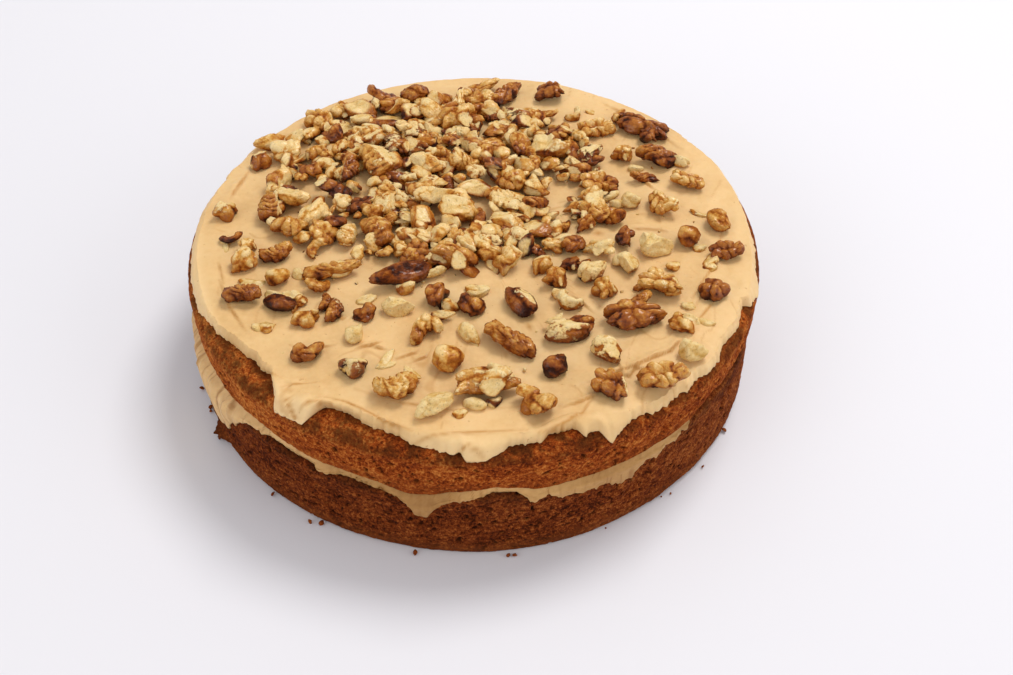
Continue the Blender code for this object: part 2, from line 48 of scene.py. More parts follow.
# The cake's sizes, the same as in the CAD source. Angles are degrees from the front, to the right.
cake = {
    "radius": 116.8 * mm, "oval": 0.5 * mm, "lowerShift": 0.0, "upperShift": 1.2 * mm,
    "seamHeight": 36.0 * mm, "fillingDepth": 2.9 * mm, "upperTop": 56.0 * mm,
    "icingTop": 60.5 * mm, "flatRadius": 80.0 * mm, "shoulderRun": 8.0 * mm,
    "shoulderDrop": 5.0 * mm, "edgeCut": 1.6 * mm, "walnutRest": 61.2 * mm,
    # lumps round each layer's side: height (mm), count and phase; and how large its pits are
    "lobes": ((0.3, 3, 1.0), (0.25, 7, 0.4)), "pitSizes": (1 / 70.0, 1 / 190.0), "finePits": 0.6,
    # the height of the seam round the rim: angle, height (mm)
    "seam": (
        (-180, 35), (-140, 36.5), (-100, 34.8), (-75, 36), (-55, 35.6), (-45, 37.2), (-39, 36.8),
        (-30, 34.9), (-21, 35.6), (-16.5, 34.2), (-10.5, 30.8), (-6, 32), (-3, 34.6), (0, 35.7), (5, 37.5),
        (12, 35.2), (16, 36.3), (31, 36.4), (40, 36.8), (52, 39.4), (64, 39), (78, 36), (100, 35),
        (140, 37), (180, 35),
    ),
    # how far the icing's edge runs over the shoulder: angle, run (mm)
    "icingEdge": (
        (-180, 4.4), (-170, 5.8), (-158, 3), (-146, 6), (-132, 3.2), (-120, 5.5), (-108, 3), (-98, 5.6),
        (-90, 5.3), (-80, 5.5), (-72, 5.4), (-69, 5), (-66, 4.2), (-63, 2.6), (-60, 2.2), (-57, 0.6),
        (-54, -0.4), (-51, -1), (-49.5, -2.2), (-46.5, -1.4), (-43.5, -2.4), (-42, -1), (-40.5, 1.4),
        (-39, 3.5), (-37.5, 8), (-36, 8.2), (-34.5, 7.6), (-31.5, 7), (-30.5, 3.5), (-29.5, -1.5),
        (-28.5, -2.5), (-24, -2.9), (-22.5, -2.2), (-21, -0.7), (-16.5, 0), (-13.5, 1), (-12, 2),
        (-10.5, 3), (-7.5, 3.3), (-4.5, 4.1), (-3, 5), (-1.5, 4.8), (-0.5, 7.4), (0.5, 7.8), (3, 7),
        (4.5, 5.4), (6, 3.8), (7.5, 2.3), (13.5, 2.2), (15, 0.5), (19.5, 0.3), (20.5, 1.5), (21.2, 4.6),
        (22.5, 2.8), (24, 3.6), (25, 8), (25.8, 11), (27, 7.6), (28.5, 6), (30, 4.8), (33, 4.5), (36, 6),
        (39, 6), (42, 5), (43.5, 6), (46.5, 5), (51, 6), (54, 5.2), (57, 3), (60, 3.8), (63, 4.2),
        (66, 3.5), (69, 2.8), (70.5, 5.5), (73.5, 7.2), (75, 8.8), (76.5, 8.8), (78, 7), (81, 5.1),
        (85, 5.6), (90, 5), (100, 3.5), (112, 6), (124, 2.5), (136, 5.5), (150, 3), (163, 5.5), (176, 3.2),
        (180, 4.4),
    ),
    # how far the filling squeezes out over the lower layer, in the same way
    "fillingEdge": (
        (-180, 1), (-170, 5.5), (-160, 8.5), (-150, 3), (-140, -0.5), (-128, -1), (-116, 3), (-105, 5.5),
        (-94, 1), (-84, 0.5), (-78, 5), (-74, 14), (-70, 21), (-66, 23.5), (-60, 23.5), (-58.5, 22.5),
        (-55.5, 17.8), (-52.5, 11.3), (-49.5, 5.3), (-46.5, 1.6), (-42, 0.9), (-40.5, -0.3), (-36, -0.3),
        (-30, -0.4), (-28.5, 1.6), (-26, 1.2), (-24, -0.3), (-19.5, 0.2), (-15, 0.2), (-12, 1.5),
        (-10.5, 2.8), (-9, 8.3), (-7.5, 8.8), (-6, 3.8), (-4.5, 1.8), (-1.5, 2.3), (1.5, 1.1), (4.5, -0.3),
        (9, -0.6), (10.5, 1.4), (12, 4.3), (13.5, 2.9), (15, 2.3), (16.5, 5.3), (19.5, 5.3), (21, 6.5),
        (25.5, 6.3), (28.5, 9), (31.5, 9.6), (33, 6.3), (34.5, 3.6), (37.5, 5.6), (39, 2.6), (42, 3.3),
        (43.5, 1.8), (45, 2.8), (47, 0), (52, -1.5), (75, -1), (86, 3), (96, 4.5), (108, 1), (120, 5),
        (131, 9), (142, 4), (156, -0.5), (168, 0.5), (180, 1),
    ),
}
shoulderLength = math.pi / 2 * math.hypot(cake["shoulderRun"], cake["shoulderDrop"]) / math.sqrt(2)


# Small helpers for objects and meshes.

def added(name, data):
    thing = bpy.data.objects.new(name, data)
    bpy.context.scene.collection.objects.link(thing)
    return thing


def pointsOf(piece):
    flat = np.empty(len(piece.data.vertices) * 3, np.float32)
    piece.data.vertices.foreach_get("co", flat)
    return flat.reshape(-1, 3).astype(float)


def movePoints(piece, points):
    piece.data.vertices.foreach_set("co", points.astype(np.float32).ravel())
    piece.data.update()


def normalsOf(piece):
    flat = np.empty(len(piece.data.vertices) * 3, np.float32)
    piece.data.vertex_normals.foreach_get("vector", flat)
    return flat.reshape(-1, 3).astype(float)


def paintOn(piece, name, values):
    layer = piece.data.attributes.new(name, "FLOAT", "POINT")
    layer.data.foreach_set("value", np.asarray(values, np.float32))


def bumps(points, grain, drift=0.0):
    # smooth noise from -1 to 1, its lumps about one grain across
    return np.array([noise.noise(Vector(point)) for point in points / grain + drift])


def soften(values):
    values = np.clip(values, 0.0, 1.0)
    return values * values * (3.0 - 2.0 * values)


def between(value, table):
    # straight between the pairs of a table
    return np.interp(value, *np.array(table, float).T)


def wrapRound(name, rings):
    # A grid bent round the cake, one row to a ring, then closed at its seam and both ends.
    rings = np.array(rings)
    rows, steps = rings.shape[:2]
    bpy.ops.object.select_all(action="DESELECT")
    bpy.ops.mesh.primitive_grid_add(x_subdivisions=steps, y_subdivisions=rows - 1, size=2.0)
    piece = bpy.context.object
    piece.name = piece.data.name = name
    movePoints(piece, np.concatenate([rings, rings[:, :1]], axis=1).reshape(-1, 3))
    bpy.ops.object.mode_set(mode="EDIT")
    bpy.ops.mesh.select_all(action="SELECT")
    bpy.ops.mesh.remove_doubles(threshold=1e-7)
    bpy.ops.mesh.select_all(action="DESELECT")
    bpy.ops.mesh.select_non_manifold()
    bpy.ops.mesh.fill_holes(sides=0)
    bpy.ops.mesh.poke()
    bpy.ops.mesh.select_all(action="SELECT")
    bpy.ops.mesh.normals_make_consistent(inside=False)
    bpy.ops.object.mode_set(mode="OBJECT")
    bpy.ops.object.shade_smooth()
    return piece


def joined(pieces, name):
    bpy.ops.object.select_all(action="DESELECT")
    for piece in pieces:
        piece.select_set(True)
    bpy.context.view_layer.objects.active = pieces[0]
    bpy.ops.object.join()
    made = bpy.context.object
    made.name = made.data.name = name
    return made


# The cake's outline, as in the CAD source.

def around(steps):
    return np.arange(steps) * 360.0 / steps


def courseOf(points):
    # the angle at which each point lies
    return np.degrees(np.arctan2(points[..., 0], -points[..., 1]))


def profile(angle, table):
    return between((angle + 180.0) % 360.0 - 180.0, table) * mm


def layerRadius(angle):
    turn = np.radians(angle)
    lumps = sum(height * np.sin(count * turn + phase) for height, count, phase in cake["lobes"])
    return cake["radius"] - cake["oval"] * np.cos(2 * turn) + lumps * mm


def place(angle, radius, shift, height=0.0):
    turn = np.radians(angle)
    x, y = shift + radius * np.sin(turn), -radius * np.cos(turn)
    return np.stack([x, y, np.broadcast_to(height, x.shape)], axis=-1)


def seamHeight(points):
    outer = np.hypot(points[..., 0], points[..., 1]) - cake["flatRadius"]
    share = np.maximum(outer / (cake["radius"] - cake["flatRadius"]), 0.0)
    return cake["seamHeight"] + share * (profile(courseOf(points), cake["seam"]) - cake["seamHeight"])


def lowerTop(angle, radius, above=0.0):
    points = place(angle, radius, cake["lowerShift"])
    points[..., 2] = seamHeight(points) - cake["fillingDepth"] + above
    return points


def upperBase(angle, radius, above=0.0):
    points = place(angle, radius, cake["upperShift"])
    points[..., 2] = seamHeight(points) + above
    return points


def lowerEdge(angle, run, lift):
    # Points that lie run beyond the lower layer's top, over its chamfered edge and down its side.
    run, lift = np.broadcast_to(run, angle.shape), np.broadcast_to(lift, angle.shape)
    rim, cut = layerRadius(angle), cake["edgeCut"]
    corner = lowerTop(angle, rim - cut)[..., 2]
    slide = run / math.sqrt(2)
    flat = lowerTop(angle, rim - cut + np.minimum(run, 0.0), lift)
    slope = place(angle, rim - cut + slide + lift / math.sqrt(2), cake["lowerShift"],
                  corner - slide + lift / math.sqrt(2))
    side = place(angle, rim + lift, cake["lowerShift"], corner - cut - (run - cut * math.sqrt(2)))
    onFlat, onSlope = (run <= 0.0)[..., None], (run < cut * math.sqrt(2))[..., None]
    return np.where(onFlat, flat, np.where(onSlope, slope, side))


def shoulder(angle, run, lift):
    # Points that lie run beyond the upper layer's flat top, over its rounded shoulder.
    run, lift = np.broadcast_to(run, angle.shape), np.broadcast_to(lift, angle.shape)
    wide, deep = cake["shoulderRun"], cake["shoulderDrop"]
    end = layerRadius(angle) - wide
    turn = np.clip(run / shoulderLength, 0.0, 1.0) * np.pi / 2
    outX, outZ = deep * np.sin(turn), wide * np.cos(turn)
    long = np.hypot(outX, outZ)
    radius = end + wide * np.sin(turn) + outX / long * lift + np.minimum(run, 0.0)
    height = (cake["upperTop"] - deep * (1.0 - np.cos(turn)) + outZ / long * lift
              - np.maximum(run - shoulderLength, 0.0))
    return place(angle, radius, cake["upperShift"], height)


def crag(points, depth):
    flat = points.reshape(-1, 3)
    coarse, fine = cake["pitSizes"]
    pits = bumps(flat, coarse) + cake["finePits"] * bumps(flat, fine)
    return -depth * np.maximum(pits, 0.0).reshape(points.shape[:-1])


# Shader maths written as plain Python.

class Wire:
    # wraps an output socket, so that + - and * add Math nodes
    def __init__(self, paint, socket):
        self.paint, self.socket = paint, socket

    def math(self, operation, *others):
        return self.paint.node("ShaderNodeMath", {"operation": operation}, dict(enumerate((self, *others))))

    def __add__(self, other):
        return self.math("ADD", other)

    __radd__ = __add__

    def __sub__(self, other):
        return self.math("SUBTRACT", other)

    def __rsub__(self, other):
        return (self * -1.0) + other

    def __mul__(self, other):
        return self.math("MULTIPLY", other)

    __rmul__ = __mul__

    def held(self):
        # kept between 0 and 1
        return self.math("MAXIMUM", 0.0).math("MINIMUM", 1.0)

    def step(self, low, high):
        # 0 under low, 1 over high, smooth between
        return self.paint.node("ShaderNodeMapRange", {"interpolation_type": "SMOOTHSTEP"},
                               {0: self, 1: low, 2: high, 3: 0.0, 4: 1.0})


class Paint:
    # one material and its nodes
    def __init__(self, name, **fixed):
        self.material = bpy.data.materials.new(name)
        self.material.use_nodes = True
        self.nodes = self.material.node_tree.nodes
        self.links = self.material.node_tree.links
        self.shader = self.nodes["Principled BSDF"]
        for socket, value in fixed.items():
            self.shader.inputs[socket.replace("_", " ")].default_value = value

    def feed(self, socket, value):
        if isinstance(value, Wire):
            self.links.new(value.socket, socket)
        else:
            socket.default_value = value

    def node(self, kind, settings=None, values=None, output=0):
        made = self.nodes.new(kind)
        for key, value in (settings or {}).items():
            if key == "stops":
                band = made.color_ramp.elements
                while len(band) < len(value):
                    band.new(0.5)
                for stop, (position, colour) in zip(band, value):
                    stop.position, stop.color = position, (*colour, 1.0)
            else:
                setattr(made, key, value)
        for key, value in (values or {}).items():
            self.feed(made.inputs[key], value)
        return Wire(self, made.outputs[output])

    def place(self, stretch=(1.0, 1.0, 1.0)):
        spot = self.node("ShaderNodeTexCoord", output="Object")
        return self.node("ShaderNodeMapping", values={"Vector": spot, "Scale": stretch})

    def height(self):
        spot = self.node("ShaderNodeTexCoord", output="Object")
        return self.node("ShaderNodeSeparateXYZ", values={0: spot}, output="Z")

    def attribute(self, name):
        return self.node("ShaderNodeAttribute", {"attribute_name": name}, output="Fac")

    def noise(self, grain, detail=3.0, rough=0.55, warp=0.0, stretch=(1.0, 1.0, 1.0)):
        # 0 to 1, its lumps about one grain (metres) across
        return self.node("ShaderNodeTexNoise", None, {
            "Vector": self.place(stretch), "Scale": 1.0 / grain, "Detail": detail,
            "Roughness": rough, "Distortion": warp})

    def cells(self, grain):
        return self.node("ShaderNodeTexVoronoi", None, {
            "Vector": self.place(), "Scale": 1.0 / grain}, output="Distance")

    def ramp(self, factor, stops):
        return self.node("ShaderNodeValToRGB", {"stops": stops}, {0: factor})

    def blend(self, factor, one, other):
        one = one if isinstance(one, Wire) else (*one, 1.0)
        other = other if isinstance(other, Wire) else (*other, 1.0)
        return self.node("ShaderNodeMix", {"data_type": "RGBA"}, {0: factor, 6: one, 7: other}, output=2)

    def bump(self, height, strength, depth):
        relief = self.node("ShaderNodeBump", None,
                           {"Strength": strength, "Distance": depth, "Height": height})
        self.feed(self.shader.inputs["Normal"], relief)

    def finish(self, colour, roughness):
        self.feed(self.shader.inputs["Base Color"], colour)
        self.feed(self.shader.inputs["Roughness"], roughness)
        return self.material


def wear(piece, finish):
    piece.data.materials.clear()
    piece.data.materials.append(finish)


# Camera, light and floor.

view = {
    # the camera's place, how far it looks down (degrees) and its lens
    "place": (14.3 * mm, -403.1 * mm, 404.5 * mm), "down": 45.2,
    "focalPixels": 1290.0, "widePixels": 1013.0, "sensor": 36.0, "nearest": 0.01,
    "sky": (1.0, 0.99, 0.995), "skyPower": 0.62, "aim": (0.0, 0.0, 0.04),
    # lamps: place, size, power and colour
    "lamps": {
        "overhead": ((0.64, 0.72, 1.72), 0.80, 20.0, (1.0, 0.985, 0.96)),
        "leftSide": ((-1.50, -1.50, 1.10), 1.6, 10.0, (1.0, 0.98, 0.95)),
        "rightSide": ((1.90, -0.90, 1.00), 1.6, 9.2, (1.0, 0.98, 0.95)),
    },
    "floor": (0.785, 0.78, 0.825), "floorRough": 0.8, "floorSize": 8.0, "floorDrop": 0.2 * mm,
}


def setCamera():
    scene = bpy.context.scene
    lens = bpy.data.cameras.new("photoCamera")
    lens.sensor_width, lens.clip_start = view["sensor"], view["nearest"]
    lens.lens = view["focalPixels"] / view["widePixels"] * view["sensor"]
    scene.camera = added("photoCamera", lens)
    scene.camera.location = view["place"]
    scene.camera.rotation_euler = (math.radians(90.0 - view["down"]), 0.0, 0.0)
    scene.view_settings.view_transform = "Standard"


def setLight():
    sky = bpy.data.worlds.new("studio")
    sky.use_nodes = True
    sky.node_tree.nodes["Background"].inputs[0].default_value = (*view["sky"], 1.0)
    sky.node_tree.nodes["Background"].inputs[1].default_value = view["skyPower"]
    bpy.context.scene.world = sky
    for name, (spot, size, power, colour) in view["lamps"].items():
        lamp = bpy.data.lights.new(name, "AREA")
        lamp.shape, lamp.size, lamp.energy, lamp.color = "DISK", size, power, colour
        holder = added(name, lamp)
        holder.location = spot
        aim = Vector(view["aim"]) - holder.location
        holder.rotation_euler = aim.to_track_quat("-Z", "Y").to_euler()


def setFloor():
    bpy.ops.object.select_all(action="DESELECT")
    bpy.ops.mesh.primitive_plane_add(size=view["floorSize"], location=(0, 0, -view["floorDrop"]))
    floor = bpy.context.object
    floor.name = "floor"
    bpy.ops.object.transform_apply(location=True, rotation=True, scale=True)
    wear(floor, Paint("paleFloor").finish((*view["floor"], 1.0), view["floorRough"]))


setCamera()
setLight()
setFloor()
print("camera, light and floor")


# The two sponge layers.

sponge = {
    "steps": 1200, "lowerRows": 52, "upperRows": 30, "shoulderRows": 14, "belly": 0.5 * mm,
    # relief: size across and depth of the soft lumps, the baked streaks, the crumb and the pits
    "lumps": (13.0 * mm, 0.5 * mm), "streaks": (4.0 * mm, 0.40 * mm), "crumb": (1.7 * mm, 0.42 * mm),
    "pits": (2.3 * mm, 0.8 * mm), "pitFrom": 0.34, "pitFull": 0.56,
    # size across and share of what is finer in the streaks and the crumb, and how flat they lie
    "fineStreaks": (2.2 * mm, 0.5), "fineCrumb": (0.8 * mm, 0.6), "streakFlat": 2.6, "pitFlat": 1.4,
    # how deep the sides are cragged: share of the height, depth (mm)
    "lowerDepth": ((0.05, 0.3), (0.24, 1.2), (0.5, 1.6), (0.76, 1.4), (1.0, 0.0)),
    "upperDepth": ((0.0, 0.5), (0.36, 2.0), (0.7, 1.8), (1.0, 0.0)), "upperInset": ((0.0, 0.5), (0.36, 0.0)),
    # the torn flake at the left: angle, height, reach, half width (degrees) and half thickness
    "flakeAngle": -60.0, "flakeHeight": 3.4 * mm, "flakeReach": 5.0 * mm, "flakeWide": 4.0,
    "flakeThick": 0.8 * mm, "flakeSide": 34.0 * mm,
    # on the right the upper layer's lower edge hangs over the filling: from, to and fade (degrees)
    "hangFrom": 6.0, "hangTo": 52.0, "hangFade": 8.0, "baseLift": 1.8, "hangDrop": 2.4,
    # how much lighter it is baked round the rim: angle, shade
    "lowerGlow": ((-180, 0.05), (-60, -0.02), (-20, 0.0), (20, 0.02), (42, 0.13), (180, 0.08)),
    "upperGlow": ((-180, 0.12), (-46, 0.24), (-28, 0.10), (-8, 0.0), (36, 0.02), (58, 0.08), (180, 0.12)),
}


def alongRim(angle, grain, drift):
    # noise along the rim that closes on itself
    turn = np.radians(angle)
    ring = np.stack([np.cos(turn), np.sin(turn), np.zeros_like(turn)], axis=-1) * cake["radius"]
    return bumps(ring, grain, drift)


def sideRing(angle, shift, height, inset, depth):
    wall = place(angle, layerRadius(angle), shift, height)
    radius = layerRadius(angle) - inset + crag(wall, depth)
    return place(angle, radius, shift, height)


def roundedRun(start, end, rows):
    # rings between two rings, over a rounded corner that bulges outwards and down
    made = []
    for share in np.linspace(0.0, 1.0, rows + 2)[1:-1]:
        along, up = math.sin(share * math.pi / 2), 1.0 - math.cos(share * math.pi / 2)
        ring = start + (end - start) * along
        ring[:, 2] = start[:, 2] + (end[:, 2] - start[:, 2]) * up
        made.append(ring)
    return made


def roughen(piece, weights, drift, glow, proud=0.0):
    # baked relief pressed into the sides, and how deep it is as "dent" and "pit"; the colour paints shade
    # into its hollows and pits
    points, outward = pointsOf(piece), normalsOf(piece)
    flat = points * (1.0, 1.0, sponge["streakFlat"])
    (lumpSize, lumpDepth), (streakSize, streakDepth) = sponge["lumps"], sponge["streaks"]
    (crumbSize, crumbDepth), (pitSize, pitDepth) = sponge["crumb"], sponge["pits"]
    (fineStreak, streakShare), (fineCrumb, crumbShare) = sponge["fineStreaks"], sponge["fineCrumb"]
    lumps = bumps(points, lumpSize, drift)
    streaks = bumps(flat, streakSize, drift + 3) + streakShare * bumps(flat, fineStreak, drift + 5)
    crumb = bumps(points, crumbSize, drift + 9) + crumbShare * bumps(points, fineCrumb, drift + 11)
    pits = bumps(points * (1.0, 1.0, sponge["pitFlat"]), pitSize, drift + 13)
    pits = soften((pits - sponge["pitFrom"]) / (sponge["pitFull"] - sponge["pitFrom"]))
    depth = (lumpDepth * (0.2 - 0.5 * lumps) + streakDepth * (0.1 - 0.5 * streaks)
             + crumbDepth * (0.1 - 0.5 * crumb) + pitDepth * pits - proud)
    movePoints(piece, points - outward * (depth * weights)[:, None])
    paintOn(piece, "pit", pits * weights)
    paintOn(piece, "glow", between(courseOf(points), glow))
    paintOn(piece, "dent", np.clip(0.5 * streaks + 0.35 * crumb + 0.2 * lumps, -1.0, 1.0) * weights)


def flakeRing(angle, height):
    # how far the torn flake sticks out at a height
    away = np.abs((angle - sponge["flakeAngle"] + 180) % 360 - 180)
    flake = np.maximum(1.0 - away / sponge["flakeWide"], 0.0) ** 1.3
    flake = flake * (1.0 + 0.6 * alongRim(angle, 1.5 * mm, 90.0))
    near = max(1.0 - abs(height - sponge["flakeHeight"]) / sponge["flakeThick"], 0.0) ** 0.5
    return place(angle, flake * near * sponge["flakeReach"], 0.0)


def makeLowerSponge():
    angle = around(sponge["steps"])
    rim, shift = layerRadius(angle), cake["lowerShift"]
    top = lowerEdge(angle, cake["edgeCut"] * math.sqrt(2), 0.0)[:, 2]
    lowest = sponge["lowerDepth"][0][0]
    rings = [place(angle, rim - inset * mm, shift) for inset in (12, 0.9)]
    first = sideRing(angle, shift, lowest * top, 0.0, between(lowest, sponge["lowerDepth"]) * mm)
    rings += roundedRun(rings[-1], first, 3) + [first]
    for share in np.linspace(lowest, 1.0, sponge["lowerRows"])[1:]:
        ring = sideRing(angle, shift, share * top, 0.0, between(share, sponge["lowerDepth"]) * mm)
        rings.append(ring + flakeRing(angle, share * sponge["flakeSide"]))
    rings += [lowerEdge(angle, cake["edgeCut"] * 0.7, 0.0), lowerEdge(angle, 0.0, 0.0)]
    rings += [lowerTop(angle, rim - inset * mm) for inset in (4, 8)]
    rings.append(lowerTop(angle, cake["flatRadius"]))
    piece = wrapRound("spongeBottom", rings)
    points = pointsOf(piece)
    height, outward = points[:, 2], np.hypot(points[:, 0], points[:, 1])
    proud = sponge["belly"] * soften(height / (4 * mm)) * soften((24 * mm - height) / (8 * mm))
    weights = soften(height / (1.0 * mm) + 0.3) * soften((outward - 108 * mm) / (6 * mm))
    roughen(piece, weights, 0.0, sponge["lowerGlow"], proud)
    return piece


def makeUpperSponge():
    angle = around(sponge["steps"])
    rim, shift = layerRadius(angle), cake["upperShift"]
    rings = [upperBase(angle, cake["flatRadius"]), upperBase(angle, rim - 8 * mm),
             upperBase(angle, rim - 2.4 * mm)]
    hang = soften((angle - sponge["hangFrom"]) / sponge["hangFade"])
    hang = hang * soften((sponge["hangTo"] - angle) / sponge["hangFade"])
    base = upperBase(angle, rim)[:, 2] + (sponge["baseLift"] - sponge["hangDrop"] * hang) * mm
    sideTop = cake["upperTop"] - cake["shoulderDrop"]
    first = sideRing(angle, shift, base, 0.5 * mm, 0.5 * mm)
    rings += roundedRun(rings[-1], first, 4) + [first]
    for share in np.linspace(0.0, 1.0, sponge["upperRows"])[1:]:
        depth, inset = (between(share, sponge[table]) * mm for table in ("upperDepth", "upperInset"))
        rings.append(sideRing(angle, shift, base + share * (sideTop - base), inset, depth))
    for share in np.linspace(1.0, 0.0, sponge["shoulderRows"])[1:]:
        rings.append(shoulder(angle, share * shoulderLength, 0.0))
    rings += [shoulder(angle, -6 * mm, 0.0), place(angle, cake["flatRadius"], shift, cake["upperTop"])]
    piece = wrapRound("spongeTop", rings)
    points = pointsOf(piece)
    outward = np.hypot(points[:, 0] - shift, points[:, 1])
    weights = soften((outward - 104 * mm) / (7 * mm))
    weights = weights * (1.0 - 0.5 * soften((points[:, 2] - 49 * mm) / (4 * mm)))
    roughen(piece, weights, 40.0, sponge["upperGlow"])
    return piece


def spongeFinish(name, look):
    paint = Paint(name, Specular_IOR_Level=0.04)
    blotch = paint.noise(look["blotch"], 4.0, 0.6, 0.4, (1.0, 1.0, 1.6))
    streak = paint.noise(0.006, 4.0, 0.65, 0.2, (1.0, 1.0, 3.0))
    crumb = paint.noise(0.0024, 4.0, 0.75, 0.3)
    grain = paint.noise(0.0010, 3.0, 0.8)
    dent, pit = paint.attribute("dent"), paint.attribute("pit")
    # dent darkens the hollows of the relief and lightens its raised parts: painted shade
    level = blotch * 0.85 + streak * 0.45 + crumb * 1.40 + grain * 2.3 - 2.00 + dent * 0.25
    level = (level + paint.attribute("glow")).held()
    colour = paint.ramp(level, look["tones"])
    # pits and pores darkened: painted shade in them
    pock = (1.0 - paint.cells(0.0024).step(0.10, 0.34)) * paint.noise(0.009, 2.0).step(0.38, 0.56)
    colour = paint.blend((pit * 0.9 + pock * 0.65).held(), colour, look["pitShade"])
    crust = paint.height().step(look["crustFrom"], look["crustTo"])
    crust = crust * paint.noise(0.008, 4.0, 0.7, 0.4).step(0.36, 0.60)
    colour = paint.blend((crust * look["crust"] * (0.5 + grain)).held(), colour, look["crustColour"])
    base = (1.0 - paint.height().step(look["baseFrom"], look["baseTo"])) * (0.3 + blotch)
    colour = paint.blend((base * look["base"]).held(), colour, look["baseColour"])
    paint.bump(crumb * 0.6 + grain * 0.9, 1.0, 1.0 * mm)
    return paint.finish(colour, (0.75 + grain * 0.2).held())


lowerLook = {
    "tones": ((0.0, (0.026, 0.005, 0.0015)), (0.25, (0.078, 0.0140, 0.0030)), (0.50, (0.155, 0.029, 0.0058)),
              (0.75, (0.26, 0.058, 0.011)), (1.0, (0.40, 0.125, 0.028))),
    "blotch": 0.016, "pitShade": (0.018, 0.004, 0.0015),
    "crustFrom": 26.0 * mm, "crustTo": 33.0 * mm, "crust": 0.55, "crustColour": (0.042, 0.015, 0.0045),
    "baseFrom": 2.0 * mm, "baseTo": 9.0 * mm, "base": 0.55, "baseColour": (0.21, 0.058, 0.015),
}
upperLook = {
    "tones": ((0.0, (0.070, 0.011, 0.0026)), (0.25, (0.165, 0.026, 0.0042)), (0.50, (0.30, 0.055, 0.0080)),
              (0.75, (0.45, 0.112, 0.018)), (1.0, (0.62, 0.22, 0.046))),
    "blotch": 0.019, "pitShade": (0.040, 0.008, 0.002),
    "crustFrom": 49.5 * mm, "crustTo": 54.0 * mm, "crust": 0.72, "crustColour": (0.060, 0.020, 0.005),
    "baseFrom": 38.0 * mm, "baseTo": 42.0 * mm, "base": 0.40, "baseColour": (0.26, 0.060, 0.012),
}
spongeBottom = makeLowerSponge()
wear(spongeBottom, spongeFinish("darkSponge", lowerLook))
print("lower sponge:", len(spongeBottom.data.polygons), "faces")
spongeTop = makeUpperSponge()
wear(spongeTop, spongeFinish("warmSponge", upperLook))
print("upper sponge:", len(spongeTop.data.polygons), "faces")


# The filling.

filling = {
    "steps": 1400, "faceRows": 20, "under": 0.25 * mm, "inner": 0.3 * mm,
    # its torn edge: size across and share (mm) of each layer, then of the fringe's threads
    "ragged": ((5.0 * mm, 0.5), (2.4 * mm, 0.6), (1.1 * mm, 0.55)),
    "threads": (1.6 * mm, 4.0), "threadFrom": 0.10,
    # knife strokes: size across of the broad, the fine and the crossing ones, and their depth
    "strokes": (3.6 * mm, 1.5 * mm, 4.0 * mm), "strokeDepth": 0.55 * mm,
    # how full it stands round the rim: angle, depth (mm)
    "full": (
        (-180, 1.4), (-150, 1.6), (-100, 0.8), (-84, 0.4), (-73, 0.6), (-67, 1.9), (-56, 2.2), (-48, 1.3),
        (-36, 0.5), (-26, 1.1), (-14, 0.9), (-8, 1.3), (0, 1.0), (6, 0.4), (14, 0.5), (30, 0.6), (45, 0.5),
        (55, 0.3), (80, 0.6), (95, 1.3), (130, 1.8), (150, 0.9), (180, 1.4)),
    # painted light and shade round the rim, paler (1) or browner (-1): angle, lift
    "lift": ((-180, 0), (-76, 0.4), (-66, 1.0), (-50, 0.8), (-34, 0.2), (-20, -0.3), (-12, -0.9), (-4, -0.9),
             (4, -0.3), (20, -0.5), (60, -0.3), (180, 0)),
}


def raggedEdge(angle, layers, drift):
    # tears along an edge: size across and share (mm) of each layer
    return sum(share * alongRim(angle, grain, drift + i) for i, (grain, share) in enumerate(layers)) * mm


def fillingEnd(angle):
    # how far it reaches over the lower layer, torn into a fringe where it is long
    end = profile(angle, cake["fillingEdge"])
    grain, reach = filling["threads"]
    threads = np.maximum(alongRim(angle, grain, 3.3), filling["threadFrom"]) - filling["threadFrom"]
    end = end + raggedEdge(angle, filling["ragged"], 7.0) * soften((end + 1.5 * mm) / (3 * mm)) + (
        reach * mm * threads * soften((end - mm) / (4 * mm)))
    return end


def fillingFace(angle, end):
    # rings up the outer face, with knife strokes that run down and across it
    full = profile(angle, filling["full"]) * (1.0 + 0.35 * alongRim(angle, 4.0 * mm, 1.7))
    belly = np.minimum(0.35 * end, 1.6 * mm)
    broad = soften((end - 12.0 * mm) / (6.0 * mm))
    coarse, fine, cross = filling["strokes"]
    rings = []
    for share in np.linspace(0.0, 1.0, filling["faceRows"] + 1)[1:]:
        run = end + (belly - end) * share
        bulge = np.minimum(np.sin(share * math.pi / 2) ** 0.55, 1.0)
        slant = angle + 4.0 * share * np.sin(np.radians(angle * 3.0))
        stroke = np.abs(alongRim(slant, coarse, 9.0)) * 1.6 + 0.7 * alongRim(slant, fine, 15.0 + 0.5 * share)
        stroke = stroke + 0.6 * alongRim(angle, cross, 25.0 + 2.2 * share)
        stroke = filling["strokeDepth"] * (stroke - 0.4) * bulge
        stroke = stroke * (0.35 + 0.65 * full / (2.0 * mm)) * (1.0 + 0.9 * broad)
        rings.append(lowerEdge(angle, run - 0.1 * mm,
                               filling["under"] + np.maximum(full * bulge + stroke, 0.25 * mm)))
    return rings


